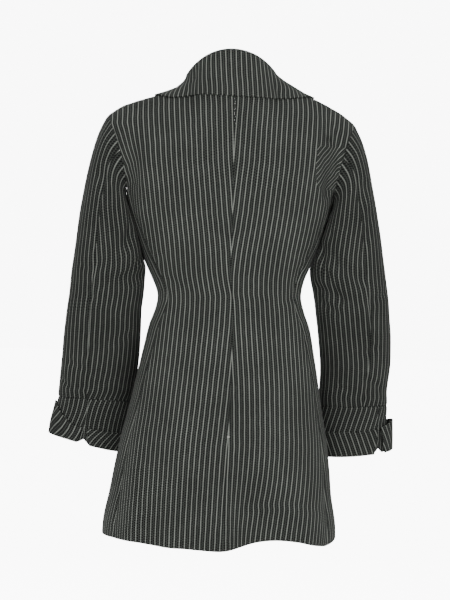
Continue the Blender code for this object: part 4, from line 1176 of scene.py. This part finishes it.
def collarEdge(turn, side):
    cut = collarCut
    if turn <= 90:
        face = 1
        share = cut["fallSideShare"][side] * turn / 90
        z = cut["edgeBack"] + (cut["edgeShoulder"] - cut["edgeBack"]) * (turn / 90) ** cut["edgeFairing"]
        lift = bell((turn - cut["edgeLiftTurn"]) / cut["edgeLiftHalfTurn"])
        z += cut["edgeLift"][side] * float(lift)
    else:
        face = -1
        part = (turn - 90) / (cut["endTurn"] - 90)
        sideShare = cut["fallSideShare"][side]
        share = sideShare + (cut["fallFrontShare"] - sideShare) * part
        z = cut["edgeShoulder"] - cut["frontDrop"] * part ** cut["frontFairing"]
    rises = np.linspace(0, 1, collarMesh["edgeSteps"])
    column = yokePoint(face, np.full(len(rises), share), rises)
    place = np.interp(z, column[:, 2], rises)
    return Vector(yokePoint(face, np.array(share), np.array(place)))


def collarColumn(turn, places, tree):
    cut = collarCut
    side = 1 if turn >= 0 else -1
    turn = abs(turn)
    s, c = math.sin(math.radians(turn)), math.cos(math.radians(turn))
    foot = Vector(neckPoint(np.array(turn)))
    out, up = Vector((s, c, 0.0)), Vector((0.0, 0.0, 1.0))
    back, front = max(c, 0.0), max(-c, 0.0)
    height = cut["standSide"] + cut["standBack"] * back ** cut["standFairing"]
    height -= cut["standFrontLoss"] * front
    setIn = cut["setIn"] + cut["frontSetIn"] * front + coatCut["cloth"] / 2
    foot = foot - out * setIn - up * coatCut["cloth"]
    rollFoot = foot + up * (height - cut["rollRadius"])
    edge = collarEdge(turn, side)
    column = []
    for q in places:
        if q <= 1:
            point = foot.lerp(rollFoot, q)
        elif q <= 2:
            bend = math.pi * (q - 1)
            point = rollFoot + out * cut["rollRadius"] * (1 - math.cos(bend))
            point = point + up * cut["rollRadius"] * math.sin(bend)
        else:
            start = rollFoot + out * 2 * cut["rollRadius"]
            t = q - 2
            swell = float(bell((turn - cut["bulgeTurn"]) / cut["bulgeHalfTurn"]))
            bulge = out * cut["bulge"][side] * swell
            near = start.lerp(edge, cut["handle"]) + bulge
            far = start.lerp(edge, 1 - cut["handle"]) + bulge
            point = start * (1 - t) ** 3 + near * 3 * t * (1 - t) ** 2
            point = point + far * 3 * t * t * (1 - t) + edge * t ** 3
            spot, normal, _, _ = tree.find_nearest(point)
            if normal.dot(Vector(outFromBody(np.array(spot)))) < 0:
                normal = -normal
            over = bodyShape["overlapStep"] * float(ease((cut["lapX"] - spot.x) / cut["lapRamp"]))
            over = over if spot.y < 0 else 0.0
            short = cut["clearance"] + over + coatCut["cloth"] / 2 - (point - spot).dot(normal)
            point = point + normal * max(short, 0.0) * float(ease(t / cut["settle"]))
        column.append((point.x * side, point.y, point.z))
    return column


def makeCollar():
    cut = collarCut
    tree = yokeTree()
    turns = np.linspace(-cut["endTurn"], cut["endTurn"], collarMesh["columns"])
    places = np.concatenate([
        np.linspace(0, 1, collarMesh["stand"]), np.linspace(1, 2, collarMesh["roll"])[1:],
        np.linspace(2, 3, collarMesh["fall"])[1:]])
    points = np.array([collarColumn(float(t), places, tree) for t in turns]).transpose(1, 0, 2)
    for _ in range(collarMesh["smoothing"]):    # smooth along the collar, as cloth would lie
        points[:, 1:-1] = points[:, 1:-1] * 0.5 + (points[:, :-2] + points[:, 2:]) * 0.25
    run = arcs(points, 0)
    around = arcs(points, 1)
    middle = len(turns) // 2
    around = around - (around[:, middle - 1:middle] + around[:, middle:middle + 1]) / 2
    uv = np.stack([around, np.repeat(run.mean(axis=1)[:, None], len(turns), axis=1)], axis=-1)
    # the wall's outer face is half of the cloth out from its middle
    outward = np.zeros_like(points)
    outward[-1] = pointsOf(points[-1, :, 0], points[-1, :, 1], collarMesh["edgeRise"])
    normals, _ = gridNormals(points, outward)
    points = points + normals * coatCut["cloth"] / 2
    clothPiece("collar", points, uv, outward, ())


makeCollar()
print("coat: collar made")


# A pale thread tack where the middle seam of the back is left unpressed
tackLook = {
    "height": -0.583,       # up the back
    "size": (0.0044, 0.0024),
    "thread": 0.0009,
    "roughness": 0.85,
    "fuzzScale": 900.0,
    "colour": (0.480, 0.490, 0.450, 1.0),
}


def makeTack():
    z = np.array([tackLook["height"]])
    spot = wornShift(torsoPoint(np.zeros(1), z))[0]
    bm = bmesh.new()
    bmesh.ops.create_grid(bm, x_segments=4, y_segments=2, size=0.5)
    for vert in bm.verts:
        across, up = vert.co.x, vert.co.y
        vert.co = (
            spot[0] - across * tackLook["size"][0], spot[1] + tackLook["thread"] * 0.5,
            spot[2] + up * tackLook["size"][1])
    material, tree, shader = newMaterial("tack_thread", tackLook["roughness"])
    place = tree.nodes.new("ShaderNodeTexCoord")
    cloud = noiseFactor(tree, place.outputs["Object"], tackLook["fuzzScale"], 2.0)
    colour = mixColours(tree, cloud, tackLook["colour"], woolLook["stripe"])
    tree.links.new(colour, shader.inputs["Base Color"])
    piece = meshObject("tack", bm, material, tackLook["thread"])
    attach(piece, "root")


makeTack()
print("coat: tack sewn")


# Plain black buttons keep their solids and get a finish of their own
buttonLook = {
    "colour": (0.012, 0.012, 0.013, 1.0),
    "light": (0.030, 0.030, 0.031, 1.0),
    "roughness": 0.34,
    "cloudScale": 120.0,
    "cloudEdges": (0.45, 0.75),
}


def buttonMaterial():
    material, tree, shader = newMaterial("button_black", buttonLook["roughness"])
    place = tree.nodes.new("ShaderNodeTexCoord")
    cloud = noiseFactor(tree, place.outputs["Object"], buttonLook["cloudScale"], 4.0)
    cloud = softStep(tree, cloud, *buttonLook["cloudEdges"])
    colour = mixColours(tree, cloud, buttonLook["colour"], buttonLook["light"])
    tree.links.new(colour, shader.inputs["Base Color"])
    return material


blackButton = buttonMaterial()
for number in (1, 2, 3):
    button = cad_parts["button_%d" % number]
    button.data.materials.clear()
    button.data.materials.append(blackButton)
print("coat: buttons finished")


# A pale floor, soft light and the camera
studio = {
    "floorHeight": -1.40,
    "floorSize": 30.0,
    "floorColour": (0.86, 0.86, 0.85, 1.0),
    "floorRoughness": 0.9,
    "worldColour": (0.93, 0.93, 0.93, 1.0),
    "worldStrength": 0.7,
    "seenStrength": 9.0,    # the surroundings' brightness in the picture itself
}
lightColumns = ("place", "aim", "size", "power")
lightRows = {
    "key": ((0.9, 2.9, 1.1), (0.0, 0.0, -0.35), (1.8, 1.8), 62.0),
    "fill": ((-1.6, 2.4, 0.3), (0.0, 0.0, -0.40), (1.5, 1.8), 25.0),
    "frontFill": ((0.6, -3.0, 0.9), (0.0, 0.0, -0.35), (2.0, 2.0), 62.0),
}
view = {
    "azimuth": 176.8,
    "roll": 1.8,
    "distance": 3.0,
    "halfHeight": 0.525,
    "pixel": 0.00175,       # metres for one pixel of a 450 x 600 image
    "pivot": (0.0, 0.0, -0.0035),
    "pivotPixel": (232, 100),
    "middlePixel": (225, 300),
}


def makeFloor():
    bm = bmesh.new()
    bmesh.ops.create_grid(bm, x_segments=2, y_segments=2, size=studio["floorSize"])
    bmesh.ops.translate(bm, verts=bm.verts, vec=(0.0, 0.0, studio["floorHeight"]))
    material, tree, shader = newMaterial("floor_pale", studio["floorRoughness"])
    shader.inputs["Base Color"].default_value = studio["floorColour"]
    shader.inputs["Emission Strength"].default_value = studio["seenStrength"]
    path = tree.nodes.new("ShaderNodeLightPath")
    tree.links.new(path.outputs["Is Camera Ray"], shader.inputs["Emission Color"])
    floor = meshObject("floor", bm, material)


def makeLight(name, row):
    look = dict(zip(lightColumns, row))
    data = bpy.data.lights.new(name, "AREA")
    data.shape = "RECTANGLE"
    data.size, data.size_y = look["size"]
    data.energy = look["power"]
    light = newObject(name, data)
    light.location = look["place"]
    aim = Vector(look["aim"]) - Vector(look["place"])
    light.rotation_euler = aim.to_track_quat("-Z", "Y").to_euler()


def makeCamera():
    camera = newObject("camera", bpy.data.cameras.new("camera"))
    camera.data.sensor_fit = "VERTICAL"
    camera.data.angle = 2 * math.atan(view["halfHeight"] / view["distance"])
    turn = math.radians(view["azimuth"])
    back = Vector((math.sin(turn), -math.cos(turn), 0.0))
    roll = Matrix.Rotation(math.radians(view["roll"]), 3, back)
    up = roll @ Vector((0.0, 0.0, 1.0))
    right = roll @ Vector((0.0, 0.0, 1.0)).cross(back)
    aside = (view["pivotPixel"][0] - view["middlePixel"][0]) * view["pixel"]
    below = (view["middlePixel"][1] - view["pivotPixel"][1]) * view["pixel"]
    centre = Vector(view["pivot"]) - right * aside - up * below
    camera.location = centre + back * view["distance"]
    camera.rotation_euler = Matrix((right, up, back)).transposed().to_euler()
    bpy.context.scene.camera = camera


makeFloor()
for name, row in lightRows.items():
    makeLight(name, row)
world = bpy.data.worlds.new("studio")
world.use_nodes = True
sky = world.node_tree
sky.nodes["Background"].inputs["Color"].default_value = studio["worldColour"]
path = sky.nodes.new("ShaderNodeLightPath")
seen = scaleAndAdd(sky, path.outputs["Is Camera Ray"], (studio["seenStrength"], studio["worldStrength"]))
sky.links.new(seen, sky.nodes["Background"].inputs["Strength"])
bpy.context.scene.world = world
makeCamera()
print("coat: studio ready")
